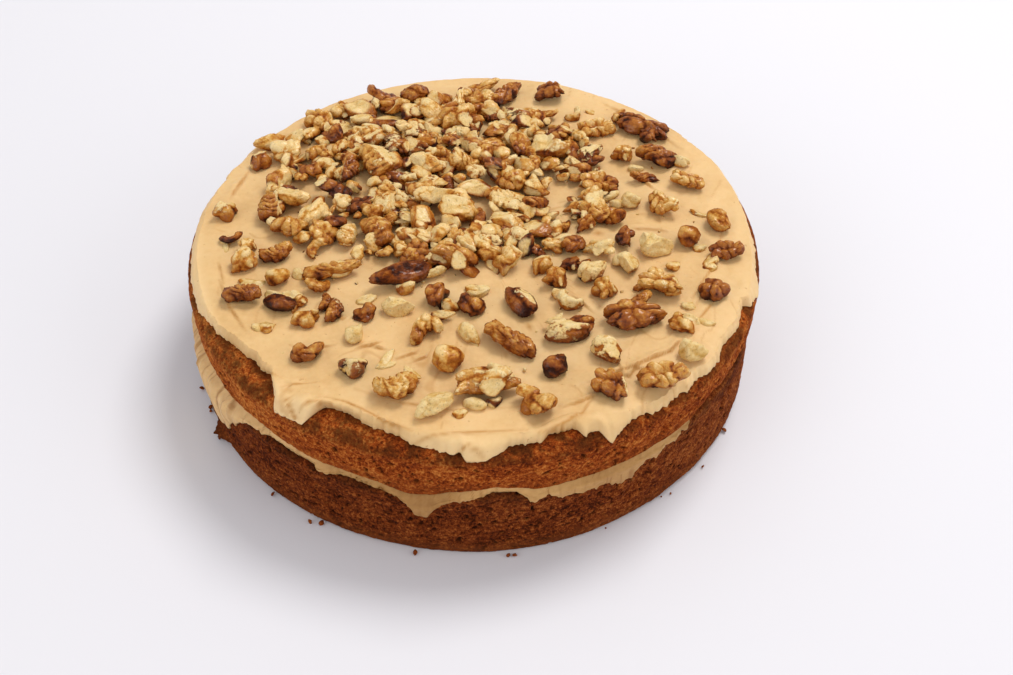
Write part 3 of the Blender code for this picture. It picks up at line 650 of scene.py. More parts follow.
def makeFilling():
    angle = around(filling["steps"])
    rim, inner, flatRadius = layerRadius(angle), filling["inner"], cake["flatRadius"]
    end = fillingEnd(angle)
    rings = [lowerTop(angle, flatRadius, inner), lowerTop(angle, rim - 8 * mm, inner)]
    for share in (0.0, 0.5, 0.85):
        rings.append(lowerEdge(angle, -2.0 * mm + share * (end + 2.0 * mm), filling["under"]))
    rings.append(lowerEdge(angle, end, 0.05 * mm))
    rings += fillingFace(angle, end)
    top = upperBase(angle, rim - 1.9 * mm, 0.1 * mm)
    for share in (0.35, 0.7):
        rings.append(rings[-1] * (1 - share) + top * share)
    rings += [top, upperBase(angle, rim - 8 * mm, -inner), upperBase(angle, flatRadius, -inner)]
    piece = wrapRound("creamFilling", rings)
    # painted shade lines in the valleys of the strokes, more of them on the flap at the left
    points = pointsOf(piece)
    course = courseOf(points)
    valley = soften((0.11 - np.abs(alongRim(course, filling["strokes"][0], 9.0))) / 0.11)
    shown = soften((bumps(points, 6.0 * mm, 50.0) + 0.15) / 0.3)
    left = soften((-48.0 - course) / 8.0) * soften((course + 82.0) / 8.0)
    paintOn(piece, "line", valley * np.maximum(shown, 0.8 * left))
    paintOn(piece, "lift", between(course, filling["lift"]))
    return piece


def creamFinish(name, look):
    paint = Paint(name, Subsurface_Weight=0.08, Subsurface_Scale=0.0012, Subsurface_Radius=(1.0, 0.5, 0.2),
                  Specular_IOR_Level=0.22, IOR=1.45)
    cloud = paint.noise(0.030, 3.0, 0.5, 0.5)
    fleck = paint.noise(0.0022, 3.0, 0.6)
    # lift paints light and shade into the colour: paler where the cream lies in shade
    level = (cloud * 0.60 + fleck * 0.25 + 0.05 + paint.attribute("lift") * 0.30).held()
    colour = paint.ramp(level, ((0.14, look["dark"]), (0.30, look["deep"]), (0.48, look["usual"]),
                                (0.66, look["pale"]), (0.86, look["bright"])))
    # painted shade: the creases darkened along their lines
    colour = paint.blend((paint.attribute("line") * 0.8).held(), colour, look["creaseShade"])
    speck = paint.noise(0.0016, 2.0, 0.5).step(0.70, 0.76)
    colour = paint.blend(speck * 0.45, colour, look["speck"])
    brush = paint.noise(0.004, 3.0, 0.5, 1.2, look["brush"])
    paint.bump(brush * 0.7 + fleck * 0.3, look["bump"], 0.6 * mm)
    return paint.finish(colour, (0.42 + cloud * 0.15).held())


# the creases' colour below is painted shade
fillingLook = {
    "dark": (0.35, 0.170, 0.050), "deep": (0.46, 0.245, 0.080), "usual": (0.60, 0.345, 0.130),
    "pale": (0.70, 0.44, 0.19), "bright": (0.84, 0.56, 0.27), "speck": (0.34, 0.15, 0.04),
    "creaseShade": (0.33, 0.145, 0.038), "brush": (1.0, 1.0, 0.30), "bump": 0.45,
}
icingLook = {
    "dark": (0.60, 0.345, 0.125), "deep": (0.68, 0.415, 0.168), "usual": (0.765, 0.500, 0.226),
    "pale": (0.81, 0.555, 0.272), "bright": (0.88, 0.630, 0.330), "speck": (0.46, 0.21, 0.06),
    "creaseShade": (0.50, 0.225, 0.048), "brush": (0.35, 1.0, 1.0), "bump": 0.20,
}
creamFilling = makeFilling()
wear(creamFilling, creamFinish("fillingCream", fillingLook))
print("filling:", len(creamFilling.data.polygons), "faces")


# The icing.

icing = {
    "steps": 960, "rimRows": 54, "topRows": 24, "lip": 0.45 * mm, "thick": 0.40 * mm, "under": 0.4 * mm,
    "roll": 5.0 * mm, "rimBand": 34.0 * mm, "topReach": 106.0 * mm, "topScale": 108.0 * mm,
    # its torn edge: size across and share (mm) of each layer, then of the fringe's threads
    "ragged": ((3.4 * mm, 0.45), (1.7 * mm, 0.60), (0.9 * mm, 0.45)),
    "threads": (1.9 * mm, 1.6), "threadFrom": 0.25,
    # how far inside the cake's side the ridge of the outer face stands: angle, distance (mm)
    "face": ((-180, 4.5), (-62, 4.2), (-50, 3.0), (-38, 5.2), (-24, 4.0), (-15, 7.4), (-10, 6.4), (-4, 5.3),
             (14, 5.4), (19, 6.4), (26, 3.4), (33, 2.6), (50, 2.2), (60, 2.6), (68, 4.0), (84, 4.6),
             (180, 4.5)),
    # how far its ridge stands above or below the flat top: angle, height (mm)
    "crest": ((-180, -0.3), (-62, -0.4), (-46, -0.5), (-30, 0.0), (26, 0.0), (34, -1.6), (50, -1.6),
              (58, -0.9), (74, -0.5), (180, -0.3)),
    # where the icing rolls over the edge with no ridge: angle, share
    "rounded": ((-180, 0.3), (-66, 0.2), (-58, 0.0), (-46, 0.0), (-41, 1.0), (-28, 1.0), (-22, 0.3),
                (-14, 0.1), (-6, 0.6), (4, 0.7), (10, 0.2), (16, 0.9), (24, 0.9), (28, 0.3), (33, 0.0),
                (70, 0.0), (180, 0.3)),
    # painted light that makes the outer face, which lies in shade, paler: angle, lift
    "lift": ((-180, 0.0), (-95, 0.0), (-70, 0.8), (-10, 0.9), (12, 0.6), (30, 0.15), (60, 0.3), (95, 0.0),
             (180, 0.0)),
    # knife marks: points across and along (mm), half width (mm) and height (mm)
    "marks": (
        (((-50, -91.5), (-43.4, -93.4), (-36.4, -97.5), (-28.5, -102.8), (-18.3, -107.3)), 0.9, -0.7),
        (((55, -73), (57, -81), (59, -82), (61, -78), (64, -75), (69, -72), (75, -69), (78, -65), (82, -62)),
         0.9, 0.8),
        (((35, -96), (41.5, -94), (46, -91)), 0.8, 0.7),
        (((26, -108), (34, -104), (41, -99), (45, -92)), 1.0, 0.6),
        (((-66, -85), (-61, -84.5), (-55, -84.5)), 1.0, -0.9),
        (((-41, -68), (-39, -67), (-35, -66), (-33, -64)), 0.7, 0.6), (((-35, -67), (-31, -68)), 0.7, 0.6),
        (((-21, -75), (-14, -71)), 0.9, 0.5), (((13, -71), (19, -71), (25, -68)), 1.0, 0.5),
        (((-67, -86), (-64, -93), (-60, -99), (-58, -104)), 0.9, -0.8),
        (((-60, -96), (-57, -94), (-49, -94)), 1.6, 0.8), (((-3, -114), (1, -113), (6, -115)), 0.8, 0.8),
        (((-50, -51), (-45, -53)), 0.7, 0.5),
        (((-26, -73), (-17, -69)), 1.2, 0.45), (((84, -57), (95, -41)), 1.3, 0.5),
        (((71, 34), (77, 27)), 1.0, 0.5), (((41, -40), (46, -46)), 1.0, 0.45),
        (((-98, -30), (-92, -45), (-84, -58)), 1.6, 0.5), (((-102, 20), (-97, 38)), 1.8, 0.5),
        (((86, -40), (96, -22), (103, 2)), 1.6, 0.45), (((60, 88), (76, 74), (90, 56)), 2.0, 0.5),
        (((-40, -88), (-22, -95), (-2, -98), (18, -96)), 1.3, 0.3),
        (((-20, -110), (0, -108), (22, -107)), 1.0, 0.35),
        (((-82, -68), (-76, -76), (-68, -82)), 1.0, 0.4), (((20, -55), (28, -58), (36, -55)), 1.3, 0.4),
        (((-66, -66), (-58, -68), (-50, -66)), 1.4, 0.35), (((-100, -20), (-96, -32)), 1.2, 0.4),
        (((44, -84), (58, -78), (68, -78)), 1.0, 0.4), (((86, -46), (92, -34), (96, -30)), 0.9, 0.5),
        (((60, -2), (70, 2), (80, 0)), 1.6, 0.4), (((48, 6), (54, -6)), 1.6, 0.35)),
    # lumps by the edge: place across and along, size (mm) and height (mm)
    "lumps": ((-66, -91, 3.4, 0.9), (-60, -93, 2.8, 0.8), (-70, -86, 2.4, 0.6), (-54, -95, 3.0, 0.5),
              (-63, -90, 3.0, -0.9), (2, -118, 2.2, 0.8), (-1, -115, 3.4, 1.0), (5, -114, 2.6, 0.7),
              (-64, -95, 3.0, 0.7), (-70, -91, 2.5, 0.6), (50, -104, 2.6, 0.6), (108, -32, 3.0, 0.6)),
    # where each ring of the outer face lies between its rim and its ridge
    "faceShares": (0.06, 0.14, 0.26, 0.40, 0.55, 0.70, 0.84, 0.95), "swirl": 0.013, "swirlFlat": 0.45,
}


def markHeight(points, course, halfWidth, height):
    # a ridge or groove along a course, steep on one side, fading at its ends; and the thin
    # line of painted shade at the foot of its steep side
    course = np.array(course, float) * mm
    best, bestFade = np.full(len(points), 1e9), np.zeros(len(points))
    side = np.zeros(len(points))
    total = len(course) - 1
    for number, (start, end) in enumerate(zip(course, course[1:])):
        along, away = end - start, points[:, :2] - start
        share = np.clip((away @ along) / (along @ along), 0.0, 1.0)
        off = np.hypot(*(away - share[:, None] * along).T)
        fade = np.sin(np.pi * np.clip((number + share) / total, 0.06, 0.94)) ** 0.6
        nearer = off < best
        bestFade = np.where(nearer, fade, bestFade)
        side = np.where(nearer, np.sign(away[:, 0] * along[1] - away[:, 1] * along[0]), side)
        best = np.minimum(best, off)
    wobble = 1.0 + 0.6 * bumps(points * (1.0, 1.0, 0.0), 4.0 * mm, 8.0)
    reach = halfWidth * mm * np.where(side > 0, 0.3, 2.4)
    rise = 2.1 * height * mm * wobble * np.exp(-(best / reach) ** 2) * bestFade
    foot = np.exp(-((best - 0.35 * mm) / (0.50 * mm)) ** 2)
    line = np.where(side > 0, foot, 0.4 * np.exp(-(best / (0.4 * mm)) ** 2))
    return rise, line * bestFade * np.clip(wobble, 0.3, 1.2) * min(1.0, abs(height) * 2.2)


def swirlOf(points):
    # 0 along the thin creases that the knife's turns leave, more beside them
    return np.abs(bumps(points * (1.0, icing["swirlFlat"], 1.0), icing["swirl"], 4.0))


def icingTopHeight(points):
    # soft waves of the palette knife, as seen from above
    x, y = points[:, 0], points[:, 1]
    height = 0.4 * mm * np.sin(x / 0.021 + 0.7) * np.cos(y / 0.026)
    flat = points * (1.0, 1.0, 0.0)
    warp = np.stack([bumps(flat, 0.045, 2.0), bumps(flat, 0.045, 5.0), 0 * x], axis=-1) * 0.012
    height += 0.45 * mm * bumps(flat + warp, 0.024, 11.0)
    height += 1.1 * mm * (0.4 - np.minimum(swirlOf(flat + warp), 0.4))
    height += 0.22 * mm * bumps(flat * (0.5, 1.6, 1.0), 0.0042, 17.0) + 0.10 * mm * bumps(flat, 0.0018, 19.0)
    return height + marksHeight(points)


def marksHeight(points):
    return sum(markHeight(points, *mark)[0] for mark in icing["marks"])


def lumpHeight(points):
    height = np.zeros(len(points))
    for x, y, size, rise in icing["lumps"]:
        away = np.hypot(points[:, 0] - x * mm, points[:, 1] - y * mm) / (size * mm)
        height += rise * mm * np.exp(-away ** 2)
    return height


def shoulderTop(angle, radius):
    # the height of the upper layer's own top at a radius
    over = np.clip((radius - layerRadius(angle) + cake["shoulderRun"]) / cake["shoulderRun"], 0.0, 1.0)
    return cake["upperTop"] - cake["shoulderDrop"] * (1.0 - np.sqrt(1.0 - over ** 2))


def icingFace(angle, rim, ridge, rounded):
    # rings of the outer face, from the rim up to the crisp ridge that the knife left
    shift = cake["upperShift"]
    rings = []
    for share in icing["faceShares"]:
        ring = rim + (ridge - rim) * share
        belly = math.sin(math.pi * share) * (0.45 + 0.60 * alongRim(angle, 9 * mm, 70.0 + 1.3 * share))
        belly = belly + 2.0 * rounded * math.sin(math.pi * share)
        stroke = 0.16 * alongRim(angle, 3.0 * mm, 75.0 + 1.6 * share)
        stroke = stroke + 0.09 * alongRim(angle, 1.4 * mm, 85.0 + 3.0 * share)
        radius = np.hypot(ring[:, 0] - shift, ring[:, 1]) + (belly + stroke) * 0.7 * mm
        height = ring[:, 2] + belly * 0.7 * mm + rounded * share * marksHeight(ring)
        height = np.maximum(height, shoulderTop(angle, radius) + 0.45 * mm)
        rings.append(place(angle, radius, shift, height))
    return rings


def icingTopRings(angle, edgeRadius, crest, lowered):
    # rings from the ridge inwards, settling from its height to that of the waved top
    level = cake["icingTop"]
    away = np.concatenate([np.linspace(0.0, icing["rimBand"], icing["rimRows"])[1:],
                           np.linspace(icing["rimBand"], icing["topReach"], icing["topRows"])[1:]])
    rings = []
    for inward in away:
        ring = place(angle, edgeRadius * (1.0 - inward / icing["topScale"]), cake["upperShift"])
        settled = soften(inward / (4.5 * mm - 4.0 * lowered))
        ring[:, 2] = (crest - level) * (1.0 - settled) + level + icingTopHeight(ring) * settled
        rings.append(ring)
    return rings


def makeIcing():
    angle = around(icing["steps"])
    under, shift = icing["under"], cake["upperShift"]
    grain, reach = icing["threads"]
    threads = np.maximum(alongRim(angle, grain, 31.0), icing["threadFrom"]) - icing["threadFrom"]
    end = profile(angle, cake["icingEdge"]) + raggedEdge(angle, icing["ragged"], 20.0) + reach * mm * threads
    thin = icing["thick"] * (1.0 + 0.5 * alongRim(angle, 5 * mm, 44.0))
    start = np.minimum(0.0, end - 2 * mm)
    rings = [place(angle, cake["flatRadius"], shift, cake["upperTop"] + 0.3 * mm),
             shoulder(angle, start, under)]
    rings += [shoulder(angle, start * (1 - share) + end * share, under) for share in (0.35, 0.7)]
    rim = shoulder(angle, end, thin)
    rings += [shoulder(angle, end - 0.15 * mm, 0.1 * mm), shoulder(angle, end, 0.5 * thin), rim]
    rimRadius = np.hypot(rim[:, 0] - shift, rim[:, 1])
    rounded = profile(angle, icing["rounded"]) / mm
    ridgeRadius = np.minimum(layerRadius(angle) - profile(angle, icing["face"]) - rounded * icing["roll"],
                             rimRadius - 1.4 * mm)
    ridgeRadius = ridgeRadius + 0.5 * mm * alongRim(angle, 9 * mm, 63.0)
    ridgeRadius = ridgeRadius + 0.25 * mm * alongRim(angle, 3 * mm, 66.0)
    lowered = profile(angle, icing["crest"])
    lip = icing["lip"] * (1.0 + 0.8 * alongRim(angle, 13 * mm, 51.0)) * (1.0 - rounded)
    crest = cake["icingTop"] + lowered + lip
    ridge = place(angle, ridgeRadius, shift, crest)
    edgeRadius = ridgeRadius - 0.25 * mm
    rings += icingFace(angle, rim, ridge, rounded)
    rings += [ridge, place(angle, edgeRadius, shift, crest - 0.06 * mm)]
    rings += icingTopRings(angle, edgeRadius, crest, lowered)
    for ring in rings[5:]:
        ring[:, 2] += lumpHeight(ring)
    return wrapRound("creamIcing", rings)


def markIcing(piece):
    # painted shade lines along the knife marks and creases, and painted light that makes the outer face paler
    points = pointsOf(piece)
    line = np.max([markHeight(points, *mark)[1] for mark in icing["marks"]], axis=0)
    swirl = swirlOf(points * (1.0, 1.0, 0.0))
    line = np.maximum(line, 0.35 * soften((0.035 - swirl) / 0.03) * soften(bumps(points, 0.02, 61.0) / 0.2))
    paintOn(piece, "line", np.minimum(1.3 * line, 1.0) * (points[:, 2] > 54.5 * mm))
    # the outer face painted paler: painted light
    outward = np.hypot(points[:, 0] - cake["upperShift"], points[:, 1])
    lift = between(courseOf(points), icing["lift"])
    paintOn(piece, "lift", lift * soften((outward - 108.0 * mm) / (5.0 * mm)))


creamIcing = makeIcing()
markIcing(creamIcing)
wear(creamIcing, creamFinish("icingCream", icingLook))
print("icing:", len(creamIcing.data.polygons), "faces")


# The walnuts: forms first, each about two units long, then strewn copies of them.

# Each form starts as a ball with half sizes "size", swollen by lobes: a "row" has so many ribs
# on either side of a seam, fanned by so many degrees; "ribs" run right across, turned by an
# angle; a "bunch" has so many lobes of a radius and a stretch. "cuts" are broken faces: a
# normal and how far out it lies.
forms = {
    "dome": {"size": (1.0, 0.76, 0.54), "row": (4, 55), "groove": 0.10, "cuts": (((0, 0, -1), 0.30),)},
    "domeBroken": {"size": (1.0, 0.80, 0.56), "row": (4, 70), "groove": 0.06,
                   "cuts": (((0.9, 0.2, 0.3), 0.58), ((0, 0, -1), 0.30))},
    "cup": {"size": (1.0, 0.74, 0.50), "row": (4, 60), "hollow": 0.34, "cuts": (((0, 0, -1), 0.32),)},
    "shell": {"size": (1.0, 0.70, 0.52), "ribs": (6, 12), "hollow": 0.14, "bend": 0.5,
              "cuts": (((0.1, -0.9, 0.4), 0.40), ((0, 0, -1), 0.30))},
    "kidney": {"size": (1.0, 0.50, 0.46), "ribs": (7, 0), "bend": 1.0, "cuts": (((0, 0, -1), 0.30),)},
    "caterpillar": {"size": (1.0, 0.40, 0.38), "ribs": (7, 18), "bend": 0.30, "cuts": (((0, 0, -1), 0.24),)},
    "spindle": {"size": (1.0, 0.38, 0.36), "ribs": (5, -35), "bend": 0.25, "taper": 0.4,
                "cuts": (((0, 0, -1), 0.22),)},
    "arch": {"size": (1.0, 0.32, 0.32), "ribs": (4, 10), "bend": 1.5,
             "cuts": (((1, 0, 0.2), 0.86), ((-1, 0, 0.3), 0.88), ((0, 0, -1), 0.20))},
    "bean": {"size": (1.0, 0.62, 0.56), "bunch": (5, 0.66, 1.1), "bend": 0.3, "cuts": (((0, 0, -1), 0.36),)},
    "twin": {"size": (1.0, 0.64, 0.56), "bunch": (5, 0.50, 1.2), "waist": 0.22,
             "cuts": (((0, 0, -1), 0.34),)},
    "cluster": {"size": (1.0, 0.80, 0.62), "bunch": (7, 0.46, 1.9),
                "cuts": (((0.3, -0.8, 0.5), 0.60), ((0, 0, -1), 0.34))},
    "tangle": {"size": (1.0, 0.82, 0.66), "bunch": (8, 0.42, 2.3), "cuts": (((0, 0, -1), 0.34),)},
    "lump": {"size": (1.0, 0.80, 0.68), "bunch": (4, 0.62, 1.4),
             "cuts": (((0.1, 0.5, 0.85), 0.50), ((-0.9, 0.4, 0.1), 0.66), ((0, 0, -1), 0.36))},
    "rind": {"size": (1.0, 0.66, 0.54), "row": (4, 45),
             "cuts": (((0.1, -0.95, 0.25), 0.16), ((0.95, 0.2, 0.1), 0.72), ((0, 0, -1), 0.30))},
    "block": {"size": (1.0, 0.85, 0.75), "bunch": (4, 0.66, 1.2),
              "cuts": (((0.2, -0.9, 0.35), 0.50), ((-0.85, 0.1, 0.5), 0.58), ((0.6, 0.5, 0.62), 0.56),
                       ((0, 0, -1), 0.40))},
    "knob": {"size": (1.0, 0.82, 0.72), "bunch": (4, 0.62, 1.3),
             "cuts": (((0.4, 0.2, 0.9), 0.46), ((-0.8, -0.55, 0.2), 0.62), ((0, 0, -1), 0.36))},
    "wedge": {"size": (1.0, 0.62, 0.58), "bunch": (4, 0.60, 1.5), "taper": 0.3,
              "cuts": (((0.30, 0.35, 0.88), 0.30), ((0.2, -0.97, 0.1), 0.40), ((0, 0, -1), 0.32))},
    "shard": {"size": (1.0, 0.68, 0.40), "bunch": (4, 0.62, 1.4),
              "cuts": (((0.1, 0.05, 1), 0.20), ((0.7, -0.7, 0.1), 0.56), ((0, 0, -1), 0.18))},
}
# A kernel has the first detail, or the next one if it is shorter than the limits under it. It
# sinks a little into what it lies on.
kernel = {"details": (5, 4, 3), "coarseUnder": 13.0 * mm, "smallUnder": 8.3 * mm, "sink": 0.7 * mm,
          "heights": {"half": 0.62, "piece": 0.72, "long": 0.80, "chunk": 0.75, "flake": 0.45}}
lobeFold = 0.11         # how wide the folds between the lobes are
goldenTurn = 2.39996    # the turn from one lobe of a bunch to the next


def rowLobes(rng, count, fan):
    made = [((0.0, 0.0, 0.0), (0.86, 0.66, 0.66), 0.0)]
    apart = 1.74 / count
    for number in range(count):
        for side in (-1, 1):
            x = -0.87 + apart * (number + 0.5) + rng.uniform(-0.22, 0.22) * apart
            shrink = math.sqrt(1.0 - 0.8 * x * x)
            radii = (apart * rng.uniform(0.55, 1.10), 0.62 * shrink * rng.uniform(0.8, 1.1),
                     0.86 * shrink * rng.uniform(0.78, 1.06))
            made.append(((x, side * 0.34 * shrink, rng.uniform(0.02, 0.14)), radii, -side * fan * x))
    return made


def ribLobes(rng, count, fan):
    # one row of ribs right across, each turned a little further than the last
    made = [((0.0, 0.0, 0.0), (0.90, 0.74, 0.74), 0.0)]
    apart = 1.80 / count
    for number in range(count):
        x = -0.90 + apart * (number + 0.5) + rng.uniform(-0.18, 0.18) * apart
        shrink = math.sqrt(1.0 - 0.7 * x * x)
        radii = (apart * rng.uniform(0.50, 0.85), shrink * rng.uniform(0.88, 1.02),
                 shrink * rng.uniform(0.86, 1.02))
        made.append(((x, rng.uniform(-0.06, 0.06), 0.03), radii, fan + rng.uniform(-14.0, 14.0)))
    return made


def bunchLobes(rng, count, radius, stretch):
    # lobes spread evenly over a ball
    made = [((0.0, 0.0, 0.0), (0.66, 0.66, 0.66), 0.0)]
    for number in range(count):
        height = 1.0 - 1.7 * (number + 0.5) / count
        turn = number * goldenTurn + rng.uniform(-0.35, 0.35)
        own = radius * rng.uniform(0.70, 1.35)
        out = rng.uniform(0.90, 1.02) - own
        level = math.sqrt(1.0 - height * height)
        centre = (out * level * math.cos(turn), out * level * math.sin(turn), out * height)
        long = own * rng.uniform(1.0, stretch)
        radii = (long, own * own / long * rng.uniform(0.95, 1.15), own)
        made.append((centre, radii, rng.uniform(0.0, 180.0)))
    return made


def formLobes(want, rng):
    for kind, makeLobes in (("row", rowLobes), ("ribs", ribLobes), ("bunch", bunchLobes)):
        if kind in want:
            return makeLobes(rng, *want[kind])


def lobeReach(ball, lobes):
    # how far out the lobes reach in each direction, 0 in the folds between them and 1 on them,
    # and a shade for each lobe
    reach = []
    for centre, radii, turn in lobes:
        spin = np.array(Matrix.Rotation(math.radians(turn), 3, "Z"))
        toward, origin = (ball @ spin) / radii, (np.array(centre) @ spin) / radii
        a, b, c = (toward ** 2).sum(axis=1), toward @ origin, origin @ origin - 1.0
        square = b * b - a * c
        reach.append(np.where(square > 0.0, (b + np.sqrt(np.maximum(square, 0.0))) / a, 0.0))
    shade = np.sin(np.argmax(reach, axis=0) * 37.7)
    reach = np.sort(np.array(reach), axis=0)
    return reach[-1], 1.0 - np.exp(-((reach[-1] - reach[-2]) / lobeFold) ** 2), shade


def swellForm(ball, want, drift):
    # the ball with its lobes, wrinkles, groove, waist, taper and hollow
    bent = ball + 0.20 * np.stack([bumps(ball, 0.55, drift + i) for i in range(3)], axis=-1)
    bent += 0.085 * np.stack([bumps(ball, 0.24, drift + 6 + i) for i in range(3)], axis=-1)
    lobes = formLobes(want, random.Random(int(drift * 10)))
    swell, rib, shade = lobeReach(bent / np.linalg.norm(bent, axis=1)[:, None], lobes)
    swell += 0.10 * bumps(ball, 0.8, drift + 3)
    wrinkle = np.abs(bumps(ball * (2.2, 1.0, 1.0), 0.30, drift + 5))
    swell += 0.12 * np.minimum(wrinkle, 0.4) + 0.045 * bumps(ball, 0.13, drift + 8)
    groove = want.get("groove", 0.0) * np.exp(-(ball[:, 1] / 0.12) ** 2) * soften(ball[:, 2] * 3 + 0.5)
    swell -= groove
    swell -= want.get("waist", 0.0) * np.exp(-(ball[:, 0] / 0.26) ** 2)
    points = ball * swell[:, None] * np.array(want["size"])
    points[:, 1:] *= (1.0 - want.get("taper", 0.0) * np.maximum(points[:, :1], -0.3) ** 2)
    hollow = want.get("hollow", 0.0) * np.exp(-(points[:, 0] / 0.50) ** 2 - (points[:, 1] / 0.26) ** 2)
    points[:, 2] -= hollow * (points[:, 2] > 0.0)
    return points, np.clip(rib - 3.0 * groove, 0.0, 1.0), shade


def cutForm(points, cuts, drift):
    # broken faces, uneven but for the flat underside; "skin" is 0 on them and 1 elsewhere
    skin, under = np.ones(len(points)), (0, 0, -1)
    for normal, out in cuts:
        level = out + (0.0 if normal == under else 0.07 * bumps(points, 0.5, drift + 12))
        depth = points @ np.array(Vector(normal).normalized())
        beyond = depth > level
        points[beyond] *= (np.broadcast_to(level, depth.shape)[beyond] / depth[beyond])[:, None]
        if normal != under:
            skin = np.minimum(skin, 1.0 - soften((depth - level) / 0.05))
    rough = (1.0 - skin) * (0.05 * bumps(points, 0.26, drift + 9) + 0.025 * bumps(points, 0.10, drift))
    return points * (1.0 + rough)[:, None], skin


def bendForm(points, bend):
    if bend:
        radius, turn = 1.0 / bend - points[:, 1], points[:, 0] * bend
        points[:, 0], points[:, 1] = radius * np.sin(turn), 1.0 / bend - radius * np.cos(turn)
    return points


def makeForm(name, want, detail, drift):
    bpy.ops.object.select_all(action="DESELECT")
    bpy.ops.mesh.primitive_ico_sphere_add(subdivisions=detail, radius=1.0)
    piece = bpy.context.object
    piece.name = piece.data.name = name
    points, rib, shade = swellForm(pointsOf(piece), want, drift)
    points, skin = cutForm(points, want["cuts"], drift)
    movePoints(piece, bendForm(points, want.get("bend", 0.0)))
    bpy.ops.object.shade_smooth()
    for kind, values in (("skin", skin), ("rib", rib), ("shade", shade)):
        paintOn(piece, kind, values)
    return piece


# dust on the icing: count, size (mm), share in the heap and where the rest lies (mm); then the
# crumbs at the foot of the cake
crumbs = {"count": 130, "size": (0.8, 2.0), "heapShare": 0.45, "limit": 103 * mm,
          "across": (-95, 102), "along": (-98, 70), "floorCount": 26, "floorSize": (0.8, 2.4)}
kitchen = {}
for number, (name, want) in enumerate(forms.items()):
    kitchen[name] = [makeForm(f"{name}{detail}", want, detail, number * 7.0 + drift)
                     for detail, drift in zip(kernel["details"], (1.0, 4.0, 6.0))]
kitchen["crumb"] = [makeForm(f"crumb{drift}", forms["lump"], 2, drift) for drift in (3.0, 9.0, 15.0)]
print("walnut forms:", len(kitchen))

